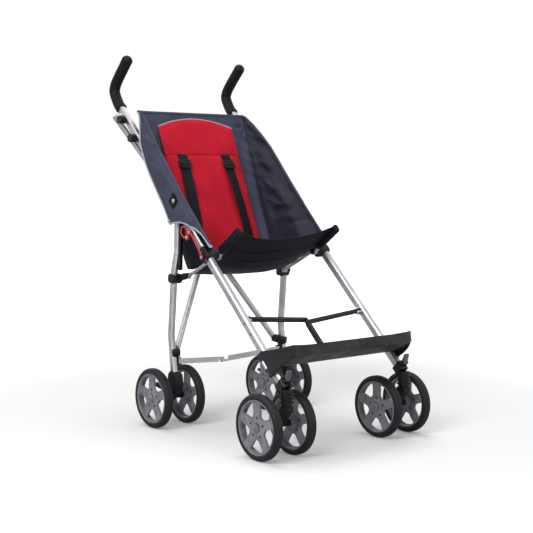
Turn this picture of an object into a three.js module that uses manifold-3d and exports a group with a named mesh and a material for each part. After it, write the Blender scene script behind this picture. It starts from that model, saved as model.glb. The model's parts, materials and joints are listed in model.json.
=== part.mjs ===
// Folding push buggy on four twin-wheel pairs, with a fabric sling seat.
// Millimetres, +Z up, the child faces -Y, +X is the child's left.
// The right side frame stands still. The left one comes to it when the buggy is folded.
import * as THREE from 'three';
import { mergeVertices } from 'three/addons/utils/BufferGeometryUtils.js';
import Module from 'manifold-3d';

const wasm = await Module();
wasm.setup();

// ---------------------------------------------------------------- driving sizes
const CLEAR = 0.3;                 // running and seating clearance
const ROUND = 14;                  // facets on a small round
const wheelFacets = 28;            // facets on tyres and rims, which share their flats

const wheelRadius = 90;
const tyreWidth = 27;
const rimRadius = 74.5;
const twinSpacing = 115.8;         // between the two wheels of one pair
const wheelbase = 513.4;
const frontTrack = 442.8;          // between the middles of the front pairs
const rearInset = 6.6;             // the rear pairs stand this much nearer the middle on each side
const axleRadius = 5;
const casterTrail = 43.8;          // swivel axis ahead of its axle

const tubeAngle = 44;              // slope of handle tube and front leg, degrees
const tubeMidHeight = 477;         // its height above the middle of the wheelbase
const tubeWidth = 18;
const tubeDepth = 24;
const tubeBevel = 4;
const gripLength = 36;             // of tube inside the grip
const tubeTopReach = 706;          // along the tube, to the mouth of the grip
const tubeFootReach = -402;        // along the tube, to its lower end
const legReach = 313;              // along the tube, to the rear leg's pivot
const seatReach = 72;              // along the tube, to the seat tube's pivot
const leverReach = 163;            // along the tube, to the release lever's pivot

const legWidth = 16;
const legDepth = 22;
const legSplay = 12;               // the leg bends outward by this below its top
const seatWidth = 14;
const seatDepth = 22;
const sideGap = 1.2;               // between frame members that lie side by side

const spreaderReach = -171;        // along the tube, the front spreader's end hinge
const spreaderDrop = 16;           // its middle lies this far down the tube
const spreaderDip = 8;             // and this far behind its ends
const spreaderEye = 7;
const lugPlate = 3;
const earGap = 1.1;                // beside a sloping arm's end

const plateSlack = 4;              // between the footplate's cheek and the leg
const cheekThick = 5;

// ---------------------------------------------------------------- derived places
const mainX = frontTrack / 2;
const rearX = mainX - rearInset;
const mainInner = mainX - tubeWidth / 2;
const mainOuter = mainX + tubeWidth / 2;
const legX = mainInner - sideGap - legWidth / 2;
const legInner = legX - legWidth / 2;
const legOuter = legX + legWidth / 2;
const footX = legX + legSplay;
const footInner = legInner + legSplay;
const footOuter = legOuter + legSplay;
const seatX = legInner - sideGap - seatWidth / 2;
const seatInner = seatX - seatWidth / 2;
const seatOuter = seatX + seatWidth / 2;

const rad = THREE.MathUtils.degToRad;
const along = [Math.cos(rad(tubeAngle)), Math.sin(rad(tubeAngle))];
// A point in the side view (y, z): s along the tube, n out of its upper front face.
const onTube = (s, n = 0) => [along[0] * s - along[1] * n, tubeMidHeight + along[1] * s + along[0] * n];

// Points given as steps (y, z) from a place.
const from = (start, steps) => steps.map(([y, z]) => [start[0] + y, start[1] + z]);
const between = (a, b, k) => [a[0] + (b[0] - a[0]) * k, a[1] + (b[1] - a[1]) * k];

const tubeFoot = onTube(tubeFootReach);
const casterY = tubeFoot[0] - 11.3;
const frontAxleY = casterY + casterTrail;
const rearAxleY = frontAxleY + wheelbase;
const legPivot = onTube(legReach);         // rear leg on the main tube
const seatPivot = onTube(seatReach);       // seat tube on the main tube
const leverPivot = onTube(leverReach);

// The rear leg bows backward: shares of the way down, and how far each point stands behind the chord.
const legTop = [legPivot[0], legPivot[1] + 5.6];
const legFoot = [rearAxleY - 40.7, wheelRadius + 34];
const legBow = [[0, 0], [0.285, 6.6], [0.4, 7.9], [0.733, 28.6], [0.936, 15.4], [1, 0]];
const legPath = legBow.map(([share, back]) => shift(between(legTop, legFoot, share), [1, 0], back));
const slideDown = unit(legPath[2], legPath[3]);
const slideTop = shift(legPath[2], slideDown, 20);       // runner that carries the seat stay's rear end
const stayEnd = shift(slideTop, [-37, 8], 1);
const legEnd = between(legPath[3], legPath[4], 0.564);   // rear hinge on the leg
const legUp = unit(legPath[4], legPath[3]);
const seatTip = shift(seatPivot, [-97.6, 69], 1);

// ---------------------------------------------------------------- solid helpers
function unit(a, b) {
  const d = Math.hypot(b[0] - a[0], b[1] - a[1]);
  return [(b[0] - a[0]) / d, (b[1] - a[1]) / d];
}

function shift(p, d, k) {
  return [p[0] + d[0] * k, p[1] + d[1] * k];
}

function toSolid(geometry) {
  const plain = geometry.index ? geometry.toNonIndexed() : geometry.clone();
  plain.deleteAttribute('normal');
  plain.deleteAttribute('uv');
  const merged = mergeVertices(plain, 1e-4);
  return new wasm.Manifold(new wasm.Mesh({
    numProp: 3,
    vertProperties: new Float32Array(merged.attributes.position.array),
    triVerts: new Uint32Array(merged.index.array),
  }));
}

function toGeometry(solid) {
  const mesh = solid.getMesh();
  const geometry = new THREE.BufferGeometry();
  geometry.setAttribute('position', new THREE.BufferAttribute(mesh.vertProperties, 3));
  geometry.setIndex(new THREE.BufferAttribute(mesh.triVerts, 1));
  return geometry;
}

const join = (...geometries) => toGeometry(geometries.map(toSolid).reduce((a, b) => a.add(b)));
const cut = (geometry, ...tools) => (
  toGeometry(tools.map(toSolid).reduce((a, b) => a.subtract(b), toSolid(geometry))));

// Swaps left and right.
function mirrored(geometry) {
  const copy = geometry.clone();
  copy.applyMatrix4(new THREE.Matrix4().makeScale(-1, 1, 1));
  const plain = copy.index ? copy.toNonIndexed() : copy;
  const p = plain.attributes.position;
  for (let i = 0; i < p.count; i += 3) {
    const a = new THREE.Vector3().fromBufferAttribute(p, i + 1);
    const b = new THREE.Vector3().fromBufferAttribute(p, i + 2);
    p.setXYZ(i + 1, b.x, b.y, b.z);
    p.setXYZ(i + 2, a.x, a.y, a.z);
  }
  return plain;
}

function shapeOf(points, holes = []) {
  const shape = new THREE.Shape(points.map(([a, b]) => new THREE.Vector2(a, b)));
  for (const hole of holes) {
    shape.holes.push(new THREE.Path(hole.map(([a, b]) => new THREE.Vector2(a, b))));
  }
  return shape;
}

// Extrudes an outline (u, v) by w, where u, v, w are unit vectors and origin is its zero point.
function prism(points, w0, w1, axes, origin = [0, 0, 0], bevel = 0, holes = []) {
  const geometry = new THREE.ExtrudeGeometry(shapeOf(points, holes), {
    depth: w1 - w0 - 2 * bevel,
    steps: 1,
    curveSegments: ROUND,
    bevelEnabled: bevel > 0,
    bevelThickness: bevel,
    bevelSize: bevel,
    bevelOffset: -bevel,
    bevelSegments: 1,
  });
  geometry.translate(0, 0, w0 + bevel);
  const basis = new THREE.Matrix4().makeBasis(...axes.map((a) => new THREE.Vector3(...a)));
  basis.setPosition(...origin);
  return geometry.applyMatrix4(basis);
}

const SIDE = [[0, 1, 0], [0, 0, 1], [1, 0, 0]];                       // (y, z) pushed along x
const TUBE = [                                                        // (x, n) pushed up the tube
  [-1, 0, 0],
  [0, -along[1], along[0]],
  [0, along[0], along[1]],
];
const REAR = [                                                        // (x, back) pushed up the leg
  [1, 0, 0],
  [0, legUp[1], -legUp[0]],
  [0, legUp[0], legUp[1]],
];

const side = (points, x0, x1, bevel = 0, holes = []) => (
  prism(points, x0, x1, SIDE, [0, 0, 0], bevel, holes)
);

function circle(centre, radius, facets = ROUND) {
  const turn = (i) => (2 * Math.PI * i) / facets;
  return Array.from({ length: facets }, (_, i) => [
    centre[0] + radius * Math.cos(turn(i)),
    centre[1] + radius * Math.sin(turn(i)),
  ]);
}

// Round-ended slot outline between two points, with its own radius at each end.
function slot(a, b, ra, rb = ra, facets = 6) {
  const heading = Math.atan2(b[1] - a[1], b[0] - a[0]);
  const arc = (c, r, from) => Array.from({ length: facets + 1 }, (_, i) => {
    const t = from + (Math.PI * i) / facets;
    return [c[0] + r * Math.cos(t), c[1] + r * Math.sin(t)];
  });
  return [...arc(b, rb, heading - Math.PI / 2), ...arc(a, ra, heading + Math.PI / 2)];
}

// Ear outline: flat against a wall at x = wall, round about an eye.
function ear(wall, eye, radius, facets = 8) {
  const tip = Array.from({ length: facets + 1 }, (_, i) => {
    const t = Math.PI / 2 + (Math.PI * i) / facets;
    return [eye[0] + radius * Math.cos(t), eye[1] + radius * Math.sin(t)];
  });
  return [[wall, eye[1] - radius], [wall, eye[1] + radius], ...tip];
}

// Outline of a bar of constant depth that follows a bent path, with mitred corners.
function bandOutline(path, depth) {
  const offset = (sign) => path.map((p, i) => {
    const before = i > 0 ? unit(path[i - 1], p) : unit(p, path[i + 1]);
    const after = i < path.length - 1 ? unit(p, path[i + 1]) : before;
    const normal = [-(before[1] + after[1]), before[0] + after[0]];
    const scale = (sign * depth) / (normal[0] * -before[1] + normal[1] * before[0]) / 2;
    return [p[0] + normal[0] * scale, p[1] + normal[1] * scale];
  });
  return [...offset(-1), ...offset(1).reverse()];
}

const band = (path, depth, x0, x1, bevel) => side(bandOutline(path, depth), x0, x1, bevel);

// Round bar along X, from x0 to x1, about a point of the side view.
const bar = (centre, radius, x0, x1, facets = ROUND) => side(circle(centre, radius, facets), x0, x1);

// Round bar between two points in space.
function rod(a, b, radius, facets = 12) {
  const from = new THREE.Vector3(...a);
  const to = new THREE.Vector3(...b);
  const geometry = new THREE.CylinderGeometry(radius, radius, from.distanceTo(to), facets);
  const turn = new THREE.Quaternion().setFromUnitVectors(
    new THREE.Vector3(0, 1, 0),
    to.clone().sub(from).normalize(),
  );
  geometry.applyQuaternion(turn);
  const mid = from.add(to).multiplyScalar(0.5);
  return geometry.translate(mid.x, mid.y, mid.z);
}

const box = (x0, x1, y0, y1, z0, z1) => new THREE.BoxGeometry(x1 - x0, y1 - y0, z1 - z0)
  .translate((x0 + x1) / 2, (y0 + y1) / 2, (z0 + z1) / 2);

// Rounded block round a piece of tube: half length along it, half depth across it.
function saddle(centre, heading, halfLength, halfDepth, x0, x1, corner = 6) {
  const across = [-heading[1], heading[0]];
  const at = (s, n) => shift(shift(centre, heading, s), across, n);
  const c = corner;
  const outline = [
    at(-halfLength, -halfDepth + c), at(-halfLength + c, -halfDepth),
    at(halfLength - c, -halfDepth), at(halfLength, -halfDepth + c),
    at(halfLength, halfDepth - c), at(halfLength - c, halfDepth),
    at(-halfLength + c, halfDepth), at(-halfLength, halfDepth - c),
  ];
  return side(outline, x0, x1, 1.5);
}

// Two ears either side of a lever that is 2 * halfWidth wide, and the pin between them.
function pivotEars(root, pivot, radius, pinRadius, x, halfWidth) {
  const outline = slot(root, pivot, radius);
  const near = halfWidth + CLEAR;
  return [
    side(outline, x - near - 3, x - near),
    side(outline, x + near, x + near + 3),
    bar(pivot, pinRadius, x - near - 1, x + near + 1, 10),
  ];
}

// ---------------------------------------------------------------- materials
const MATERIALS = {
  alloy: { color: 0xb8b4bb, roughness: 0.35, metalness: 0.85 },
  plastic: { color: 0x1b1b1d, roughness: 0.55, metalness: 0 },
  foam: { color: 0x161618, roughness: 0.85, metalness: 0 },
  tyre: { color: 0x26242a, roughness: 0.8, metalness: 0 },
  rim: { color: 0x86838a, roughness: 0.5, metalness: 0.2 },
  plate: { color: 0x2e2b30, roughness: 0.6, metalness: 0 },
  red_plastic: { color: 0xc23a48, roughness: 0.4, metalness: 0 },
  slate_fabric: { color: 0x434960, roughness: 0.9, metalness: 0 },
  navy_fabric: { color: 0x1b2233, roughness: 0.9, metalness: 0 },
  red_fabric: { color: 0xbe2032, roughness: 0.9, metalness: 0 },
  webbing: { color: 0x141416, roughness: 0.8, metalness: 0 },
};

const part = new THREE.Group();

function place(parent, name, geometry, look) {
  const mesh = new THREE.Mesh(geometry, new THREE.MeshStandardMaterial(MATERIALS[look]));
  mesh.name = name;
  parent.add(mesh);
}

// Adds a piece modelled on the left (+X) and its mirror image on the right.
function placeBoth(name, geometry, look) {
  place(part, `${name}_l`, geometry, look);
  place(part, `${name}_r`, mirrored(geometry), look);
}

// ---------------------------------------------------------------- wheels
const tyreBore = rimRadius + CLEAR;
const half = tyreWidth / 2;

function tyreGeometry() {
  const profile = [
    [tyreBore, -half + 1.5], [wheelRadius - 6.5, -half], [wheelRadius - 1.5, -half + 5],
    [wheelRadius, 0], [wheelRadius - 1.5, half - 5],
    [wheelRadius - 6.5, half], [tyreBore, half - 1.5], [tyreBore, -half + 1.5],
  ].map(([r, w]) => new THREE.Vector2(r, w));
  return new THREE.LatheGeometry(profile, wheelFacets).rotateZ(-Math.PI / 2);
}

const spokes = 5;
const hubRadius = 22;
const windowInner = 31;
const windowOuter = 63;
const hubFace = 9;                 // outer face of the spokes, from the wheel's middle

// Rim with its face toward +X: ring, five broad spokes between windows, hub with a cup for the cap.
function rimGeometry() {
  const turn = (2 * Math.PI) / spokes;
  const polar = (r, a) => [r * Math.sin(a), r * Math.cos(a)];
  const windows = Array.from({ length: spokes }, (_, i) => {
    const mid = turn * (i + 0.5);
    const inner = turn * 0.21;
    const outer = turn * 0.33;
    return [
      polar(windowInner, mid - inner), polar(windowOuter - 5, mid - outer),
      polar(windowOuter, mid - outer * 0.8), polar(windowOuter, mid + outer * 0.8),
      polar(windowOuter - 5, mid + outer),
      polar(windowInner, mid + inner),
    ];
  });
  const inside = circle([0, 0], rimRadius - 8, wheelFacets);
  const face = side(circle([0, 0], rimRadius - 2, wheelFacets), hubFace - 7, hubFace, 0, windows);
  const ring = side(circle([0, 0], rimRadius, wheelFacets), -half + 2, half - 1, 0, [inside]);
  const hub = bar([0, 0], hubRadius, -half, hubFace + 1.5);
  const bore = bar([0, 0], axleRadius + CLEAR, -half - 1, half + 1, 10);
  const cup = bar([0, 0], hubRadius - 9, hubFace - 3, half + 1, 12);
  return cut(join(face, ring, hub), bore, cup);
}

const tyre = tyreGeometry();
const rim = rimGeometry();
const rimInward = mirrored(rim);

function wheelPair(pair, x, y) {
  for (const [which, offset] of [['outer', Math.sign(x)], ['inner', -Math.sign(x)]]) {
    const spot = new THREE.Group();
    spot.position.set(x + (offset * twinSpacing) / 2, y, wheelRadius);
    place(spot, `tyre_${pair}_${which}`, tyre, 'tyre');
    place(spot, `rim_${pair}_${which}`, offset > 0 ? rim : rimInward, 'rim');
    part.add(spot);
  }
}

wheelPair('front_l', mainX, frontAxleY);
wheelPair('front_r', -mainX, frontAxleY);
wheelPair('rear_l', rearX, rearAxleY);
wheelPair('rear_r', -rearX, rearAxleY);

// Axle through one twin pair: spacers to the hubs and a cap in each hub's cup.
function twinAxle(x, y) {
  const centre = [y, wheelRadius];
  const hubIn = twinSpacing / 2 - half - CLEAR;
  const capIn = twinSpacing / 2 + hubFace - 3 + CLEAR;
  return [
    bar(centre, axleRadius, x - capIn - 1, x + capIn + 1, 10),
    bar(centre, axleRadius + 5, x - hubIn, x + hubIn, 12),
    bar(centre, axleRadius + 4, x - capIn - 4, x - capIn, 10),
    bar(centre, axleRadius + 4, x + capIn, x + capIn + 4, 10),
  ];
}

// ---------------------------------------------------------------- casters
const stemTop = tubeFoot[1] - 49.7;      // underside of the stem housing
const housingTop = tubeFoot[1] - 5.7;
const housingRadius = 17;
const swivelPin = 7;
const sleeveMouth = onTube(tubeFootReach + 18);   // upper end of the black sleeve on the tube

const sleeve = band([onTube(tubeFootReach - 12), sleeveMouth], tubeDepth + 10, mainX - 14, mainX + 14, 4);
const stemBody = new THREE.CylinderGeometry(housingRadius, housingRadius - 2, housingTop - stemTop, ROUND)
  .rotateX(Math.PI / 2)
  .translate(mainX, casterY, (housingTop + stemTop) / 2);
const stemRibs = [9, 20, 31].map((up) => stemTop + up).map((z) => (
  rod([mainX, casterY, z - 2], [mainX, casterY, z + 2], housingRadius + 2.5)));
const socket = band(
  [onTube(tubeFootReach - CLEAR), onTube(tubeFootReach + 100)],
  tubeDepth + 2 * CLEAR,
  mainInner - CLEAR,
  mainOuter + CLEAR,
  tubeBevel,
);
const stemHole = rod([mainX, casterY, stemTop - 5], [mainX, casterY, stemTop + 26], swivelPin + CLEAR, 12);
const lockReach = tubeFootReach + 4;
const lockPivot = onTube(lockReach, 25);
const lockHalf = 8;
const lockHub = 5;
const lockPin = 2.5;
const lockRoot = onTube(lockReach, tubeDepth / 2 + 6);
placeBoth(
  'caster_housing',
  join(
    cut(join(sleeve, stemBody, ...stemRibs), socket, stemHole),
    ...pivotEars(lockRoot, lockPivot, lockHub, lockPin, mainX, lockHalf),
  ),
  'plastic',
);

const downFork = (share) => stemTop - share * (stemTop - wheelRadius);   // 0 at the stem, 1 at the axle
const forkOutline = [
  [casterY - 16, stemTop - 1], [casterY - 16, downFork(0.21)], [casterY - 4, downFork(0.45)],
  ...from([frontAxleY, wheelRadius], [[-15, -4], [-8, -14], [6, -15], [15, -5]]),
  [frontAxleY + 14, downFork(0.86)], [casterY + 34, downFork(0.34)],
  [casterY + 17, downFork(0.14)], [casterY + 16, stemTop - 1],
];
const forkWeb = side(forkOutline, mainX - 13, mainX + 13, 2);
const stemPin = rod([mainX, casterY, stemTop - 8], [mainX, casterY, stemTop + 24], swivelPin, 12);
placeBoth('caster_fork', join(forkWeb, stemPin, ...twinAxle(mainX, frontAxleY)), 'plastic');

// Swivel lock: a small lever between two ears on the front of the sleeve.
const lockTip = shift(lockPivot, [-0.35, 0.94], 24);
const lockArm = side(slot(lockPivot, lockTip, lockHub, 3.5), mainX - lockHalf, mainX + lockHalf, 1);
const lockBore = bar(lockPivot, lockPin + CLEAR, mainX - lockHalf - 1, mainX + lockHalf + 1, 10);
placeBoth('swivel_lock', cut(lockArm, lockBore), 'rim');

// ---------------------------------------------------------------- main tubes and grips
const tubeTop = onTube(tubeTopReach + gripLength);
const mainTube = band([tubeFoot, tubeTop], tubeDepth, mainInner, mainOuter, tubeBevel);
const legPin = bar(legPivot, 5, legInner - 1, mainInner + 2, 12);
const legPinHead = bar(legPivot, 9, legInner - 4, legInner - 0.6, 12);

// Ears for the front spreader's end, on the tube's inner face, with their pin.
const spreaderX = mainInner - 1 - spreaderEye;
const spreaderHalf = 4;            // half the arm's thickness along the tube
const armStack = spreaderHalf + earGap / 2;
const endReach = (sign) => spreaderReach + sign * armStack;

// Pushes an outline (x, n) up the tube, from s0 to s1.
function tubeAt(points, s0, s1) {
  return prism(points.map(([x, n]) => [-x, n]), s0, s1, TUBE, [0, 0, tubeMidHeight]);
}

const spreaderEndN = -3;

function spreaderLug(sign) {
  const middle = endReach(sign);
  const outline = ear(mainInner + 2, [spreaderX, spreaderEndN], spreaderEye);
  const low = middle - spreaderHalf - earGap;
  const high = middle + spreaderHalf + earGap;
  return [
    tubeAt(outline, low - lugPlate, low),
    tubeAt(outline, high, high + lugPlate),
    tubeAt(circle([spreaderX, spreaderEndN], 3, 12), low - 1, high + 1),
  ];
}

// Hinge knuckle for the footplate, on the tube's outer face, with its pin.
const plateAxisX = mainOuter + plateSlack + cheekThick / 2 + 1;
const plateAxisN = -4;
const knuckleRadius = 5;
const knuckleMid = -325;
const knuckleHalf = 12;
const platePin = 2.2;
const plateKnuckle = [
  tubeAt(
    [
      [mainOuter - 2, plateAxisN - 4], [plateAxisX, plateAxisN - 4],
      [plateAxisX, plateAxisN + 3], [mainOuter - 2, plateAxisN + 3],
    ],
    knuckleMid - knuckleHalf,
    knuckleMid + knuckleHalf,
  ),
  tubeAt(circle([plateAxisX, plateAxisN], knuckleRadius, 14), knuckleMid - knuckleHalf, knuckleMid + knuckleHalf),
  tubeAt(circle([plateAxisX, plateAxisN], platePin, 10), knuckleMid - 34, knuckleMid + 34),
];

// Rivet heads along the leg.
const rivets = [-60, -130, -240].map((s) => bar(onTube(s, 2), 3.5, mainOuter - 1, mainOuter + 1.6, 10));

// Cross bars: each hangs behind one handle tube and crosses to the other side's rear leg.
const braceTop = onTube(tubeTopReach - 18);
const braceFoot = shift(legEnd, legUp, 36);   // the bars pass above the rear spreader when folded
const braceRadius = 7.5;
const foldTravel = 267;
const legSwing = 32;
const swing = (p) => {
  const c = Math.cos(rad(legSwing));
  const s = Math.sin(rad(legSwing));
  const [y, z] = [p[0] - legPivot[0], p[1] - legPivot[1]];
  return [legPivot[0] + y * c + z * s, legPivot[1] + z * c - y * s];
};
const braceStart = new THREE.Vector3(
  -footX - mainX, braceFoot[0] - braceTop[0], braceFoot[1] - braceTop[1],
);
const folded = swing(braceFoot);
const braceEnd = new THREE.Vector3(
  foldTravel - footX - mainX, folded[0] - braceTop[0], folded[1] - braceTop[1],
);
const braceAxis = braceEnd.clone().cross(braceStart).normalize();

const braceOffsets = { l: 56, r: 29 };    // behind the tube, so that the two bars pass each other

function braceBoss(offset) {
  const tip = braceAxis.clone().multiplyScalar(offset - braceRadius - CLEAR);
  const root = [mainX, braceTop[0], braceTop[1]];
  const end = [mainX + tip.x, braceTop[0] + tip.y, braceTop[1] + tip.z];
  return rod(root, end, 7);
}

function bracePin(offset) {
  const tip = braceAxis.clone().multiplyScalar(offset + braceRadius + 2);
  const root = [mainX, braceTop[0], braceTop[1]];
  return rod(root, [mainX + tip.x, braceTop[0] + tip.y, braceTop[1] + tip.z], 3);
}

function braceBar(offset) {
  const centre = new THREE.Vector3(mainX, braceTop[0], braceTop[1]).addScaledVector(braceAxis, offset);
  const foot = centre.clone().add(braceStart);
  const heading = braceStart.clone().normalize();
  const start = centre.clone().addScaledVector(heading, -9);
  const hole = rod(
    centre.clone().addScaledVector(braceAxis, -12).toArray(),
    centre.clone().addScaledVector(braceAxis, 12).toArray(),
    3 + CLEAR,
  );
  return cut(rod(start.toArray(), foot.toArray(), braceRadius), hole);
}

function mainTubeOf(sign, offset) {
  return join(
    mainTube, legPin, legPinHead, ...spreaderLug(sign), ...plateKnuckle, ...rivets,
    braceBoss(offset), bracePin(offset),
  );
}

place(part, 'main_tube_l', mainTubeOf(-1, braceOffsets.l), 'alloy');
place(part, 'main_tube_r', mirrored(mainTubeOf(1, braceOffsets.r)), 'alloy');
place(part, 'cross_bar_l', braceBar(braceOffsets.l), 'alloy');
place(part, 'cross_bar_r', mirrored(braceBar(braceOffsets.r)), 'alloy');

const gripRadius = 17.5;
const gripStart = onTube(tubeTopReach);
const gripBend = from(gripStart, [[39.1, 51.6], [37.1, 70.6], [20.1, 93.6], [-33.9, 147.6]]);
const gripTop = gripBend[3];
const gripPath = new THREE.CatmullRomCurve3([
  gripStart, onTube(tubeTopReach + 26), ...gripBend,
].map(([y, z]) => new THREE.Vector3(mainX, y, z)), false, 'catmullrom', 0.5);
const gripBody = new THREE.ExtrudeGeometry(shapeOf(circle([0, 0], gripRadius, 12)), {
  steps: 10,
  bevelEnabled: false,
  extrudePath: gripPath,
});
const gripCap = new THREE.SphereGeometry(gripRadius, 12, 6).translate(mainX, ...gripTop);
const gripSocket = band(
  [onTube(tubeTopReach - 20), onTube(tubeTopReach + gripLength + CLEAR)],
  tubeDepth + 2 * CLEAR,
  mainInner - CLEAR,
  mainOuter + CLEAR,
  tubeBevel,
);
placeBoth('grip', cut(join(gripBody, gripCap), gripSocket), 'foam');

// ---------------------------------------------------------------- rear legs
// Bar of eight-sided section that follows points of the side view, each with its own x.
function bentBar(path, xs, width, depth, corner) {
  const edges = bandOutline(path, depth);
  const [w, d, c] = [width / 2, depth / 2, corner];
  const section = [
    [w, c - d], [w, d - c], [w - c, d], [c - w, d],
    [-w, d - c], [-w, c - d], [c - w, -d], [w - c, -d],
  ];
  const sides = section.length;
  const points = path.flatMap((_, i) => section.map(([x, n]) => {
    const [y, z] = between(edges[i], edges[edges.length - 1 - i], (n + d) / depth);
    return [xs[i] + x, y, z];
  }));
  const faces = [];
  for (let i = 0; i < path.length - 1; i += 1) {
    for (let k = 0; k < sides; k += 1) {
      const [a, b] = [i * sides + k, i * sides + ((k + 1) % sides)];
      faces.push([a, b + sides, b], [a, a + sides, b + sides]);
    }
  }
  const last = (path.length - 1) * sides;
  for (let k = 1; k < sides - 1; k += 1) {
    faces.push([0, k, k + 1], [last, last + k + 1, last + k]);
  }
  const geometry = new THREE.BufferGeometry();
  geometry.setAttribute('position', new THREE.Float32BufferAttribute(points.flat(), 3));
  geometry.setIndex(faces.flat());
  return geometry;
}

const legXs = legPath.map((_, i) => (i < 2 ? legX : footX));
const tubePath = [...legPath.slice(0, -1), between(legPath[4], legPath[5], 0.88)];   // ends in its bracket
const legTube = bentBar(tubePath, legXs, legWidth, legDepth, 4);
const legHead = bar(legPivot, 15, legInner, legOuter, 18);
const legHole = bar(legPivot, 5 + CLEAR, legInner - 1, legOuter + 1, 12);
placeBoth('rear_leg', cut(join(legTube, legHead), legHole), 'alloy');

const legSocket = band(legPath.slice(-3), legDepth + 2 * CLEAR, footInner - CLEAR, footOuter + CLEAR, 4);
const rearAxle = [rearAxleY, wheelRadius];
const bracketOutline = [
  ...from(legFoot, [[2, 44], [-11, 38], [-17, 8], [-10, -16], [6, -23]]),
  ...from(rearAxle, [[-16, -8], [-6, -17], [8, -16], [17, -4], [14, 12], [-2.7, 34]]),
  ...from(legFoot, [[34, 36], [24, 46]]),
];
const bracketBlock = side(bracketOutline, footInner - 5, footOuter + 5, 3);
const brakePivot = [rearAxleY + 26, wheelRadius + 20];
const brakeHalf = 9;
const brakeHub = 6;
const brakePin = 3;
placeBoth(
  'rear_bracket',
  join(
    cut(join(bracketBlock, ...twinAxle(rearX, rearAxleY)), legSocket),
    ...pivotEars([rearAxleY + 4, wheelRadius + 8], brakePivot, brakeHub, brakePin, rearX, brakeHalf),
  ),
  'plastic',
);

// Brake pedal between the two rear wheels of a pair.
const brakeTip = [rearAxleY + 78, wheelRadius + 26];
const brakeArm = side(slot(brakePivot, brakeTip, brakeHub, 4), rearX - brakeHalf, rearX + brakeHalf, 1);
const brakePad = side(slot(shift(brakeTip, [-1, 0], 14), brakeTip, 5), rearX - 24, rearX + 24, 1.5);
const brakeBore = bar(brakePivot, brakePin + CLEAR, rearX - brakeHalf - 1, rearX + brakeHalf + 1, 10);
placeBoth('brake_pedal', cut(join(brakeArm, brakePad), brakeBore), 'plastic');

// Rear hinge: a block on the leg's inner face that carries the rear spreader's end.
const rearEye = 7;
const hingeThick = 5;
const rearX0 = footInner - CLEAR - hingeThick;
const rearPivotX = rearX0 - 1 - rearEye;
const rearArm = 8;                 // half the arm's height along the leg
const rearLevel = -15;             // the arms' ends, along the leg from the hinge's place
const rearBow = 44;                // the middle lies this far behind its ends
const rearDrop = 14;               // and this far down
const legAt = (points, s0, s1) => prism(points, s0, s1, REAR, [0, ...legEnd]);

const hingeBlock = saddle(shift(legEnd, legUp, -6), legUp, 24, legDepth / 2 - 1, rearX0, footInner - CLEAR, 5);
const hingeLow = rearLevel - rearArm - earGap;
const hingeHigh = rearLevel + rearArm + earGap;
const hingeEar = ear(rearX0 + 2, [rearPivotX, 0], rearEye);
const rearHinge = join(
  hingeBlock,
  legAt(hingeEar, hingeLow - lugPlate, hingeLow),
  legAt(hingeEar, hingeHigh, hingeHigh + lugPlate),
  legAt(circle([rearPivotX, 0], 3, 12), hingeLow - 1, hingeHigh + 1),
);
placeBoth('rear_hinge', rearHinge, 'plastic');

// One arm of a folding spreader: a bar that slopes by `drop` between its two level ends.
function spreaderArm(endX, endN, middleN, radius, halfThick, drop, plane, reach) {
  const outline = slot([endX, endN], [0, middleN], radius);
  const eye = circle([endX, endN], 3 + CLEAR, 12);
  const arm = cut(plane(outline, -halfThick, halfThick), plane(eye, -halfThick - 1, halfThick + 1));
  const axis = plane === tubeAt ? TUBE[2] : REAR[2];
  const p = arm.attributes.position;
  for (let i = 0; i < p.count; i += 1) {
    const k = reach - drop * THREE.MathUtils.clamp((endX - radius - p.getX(i)) / (endX - 2 * radius), 0, 1);
    p.setXYZ(i, p.getX(i), p.getY(i) + axis[1] * k, p.getZ(i) + axis[2] * k);
  }
  return arm;
}

// The two rear arms lap at half height where they meet, one over the other.
const lapRadius = 25;              // the arms close to 35 degrees apart
const slackLap = 5;
const lapEye = circle([0, rearBow], lapRadius, 20);

function rearArmOf(sign) {
  const arm = spreaderArm(rearPivotX, 0, rearBow, rearEye, rearArm, rearDrop, legAt, rearLevel);
  const middle = rearLevel - rearDrop;
  const away = middle - sign * (rearArm + slackLap);
  const near = middle + sign * (CLEAR / 2);
  return cut(arm, legAt(lapEye, Math.min(away, near), Math.max(away, near)));
}

place(part, 'rear_spreader_l', rearArmOf(-1), 'alloy');
place(part, 'rear_spreader_r', mirrored(rearArmOf(1)), 'alloy');

// ---------------------------------------------------------------- front spreader and its link
const spreaderMidN = spreaderEndN - spreaderDip;
const frontArmOf = (sign) => spreaderArm(
  spreaderX, spreaderEndN, spreaderMidN, spreaderEye, spreaderHalf, spreaderDrop, tubeAt, endReach(sign),
);
place(part, 'front_spreader_l', frontArmOf(-1), 'plastic');
place(part, 'front_spreader_r', mirrored(frontArmOf(1)), 'plastic');

// ---------------------------------------------------------------- footplate
const plateMid = onTube(-300);             // the plate's outline is stepped out from here
const [plateRear, plateFront, plateLip, plateBelly, plateHeel] = from(
  plateMid,
  [[2.8, 16.4], [-129.2, 44.4], [-137.2, 16.4], [-48.2, -21.6], [-9.2, -20.6]],
);
const cheekBelly = shift(plateMid, [-52.2, -36.6], 1);
const plateTop = onTubeCoords(plateRear);

function onTubeCoords(p) {
  const z = p[1] - tubeMidHeight;
  return [p[0] * along[0] + z * along[1], -p[0] * along[1] + z * along[0]];
}

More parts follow.
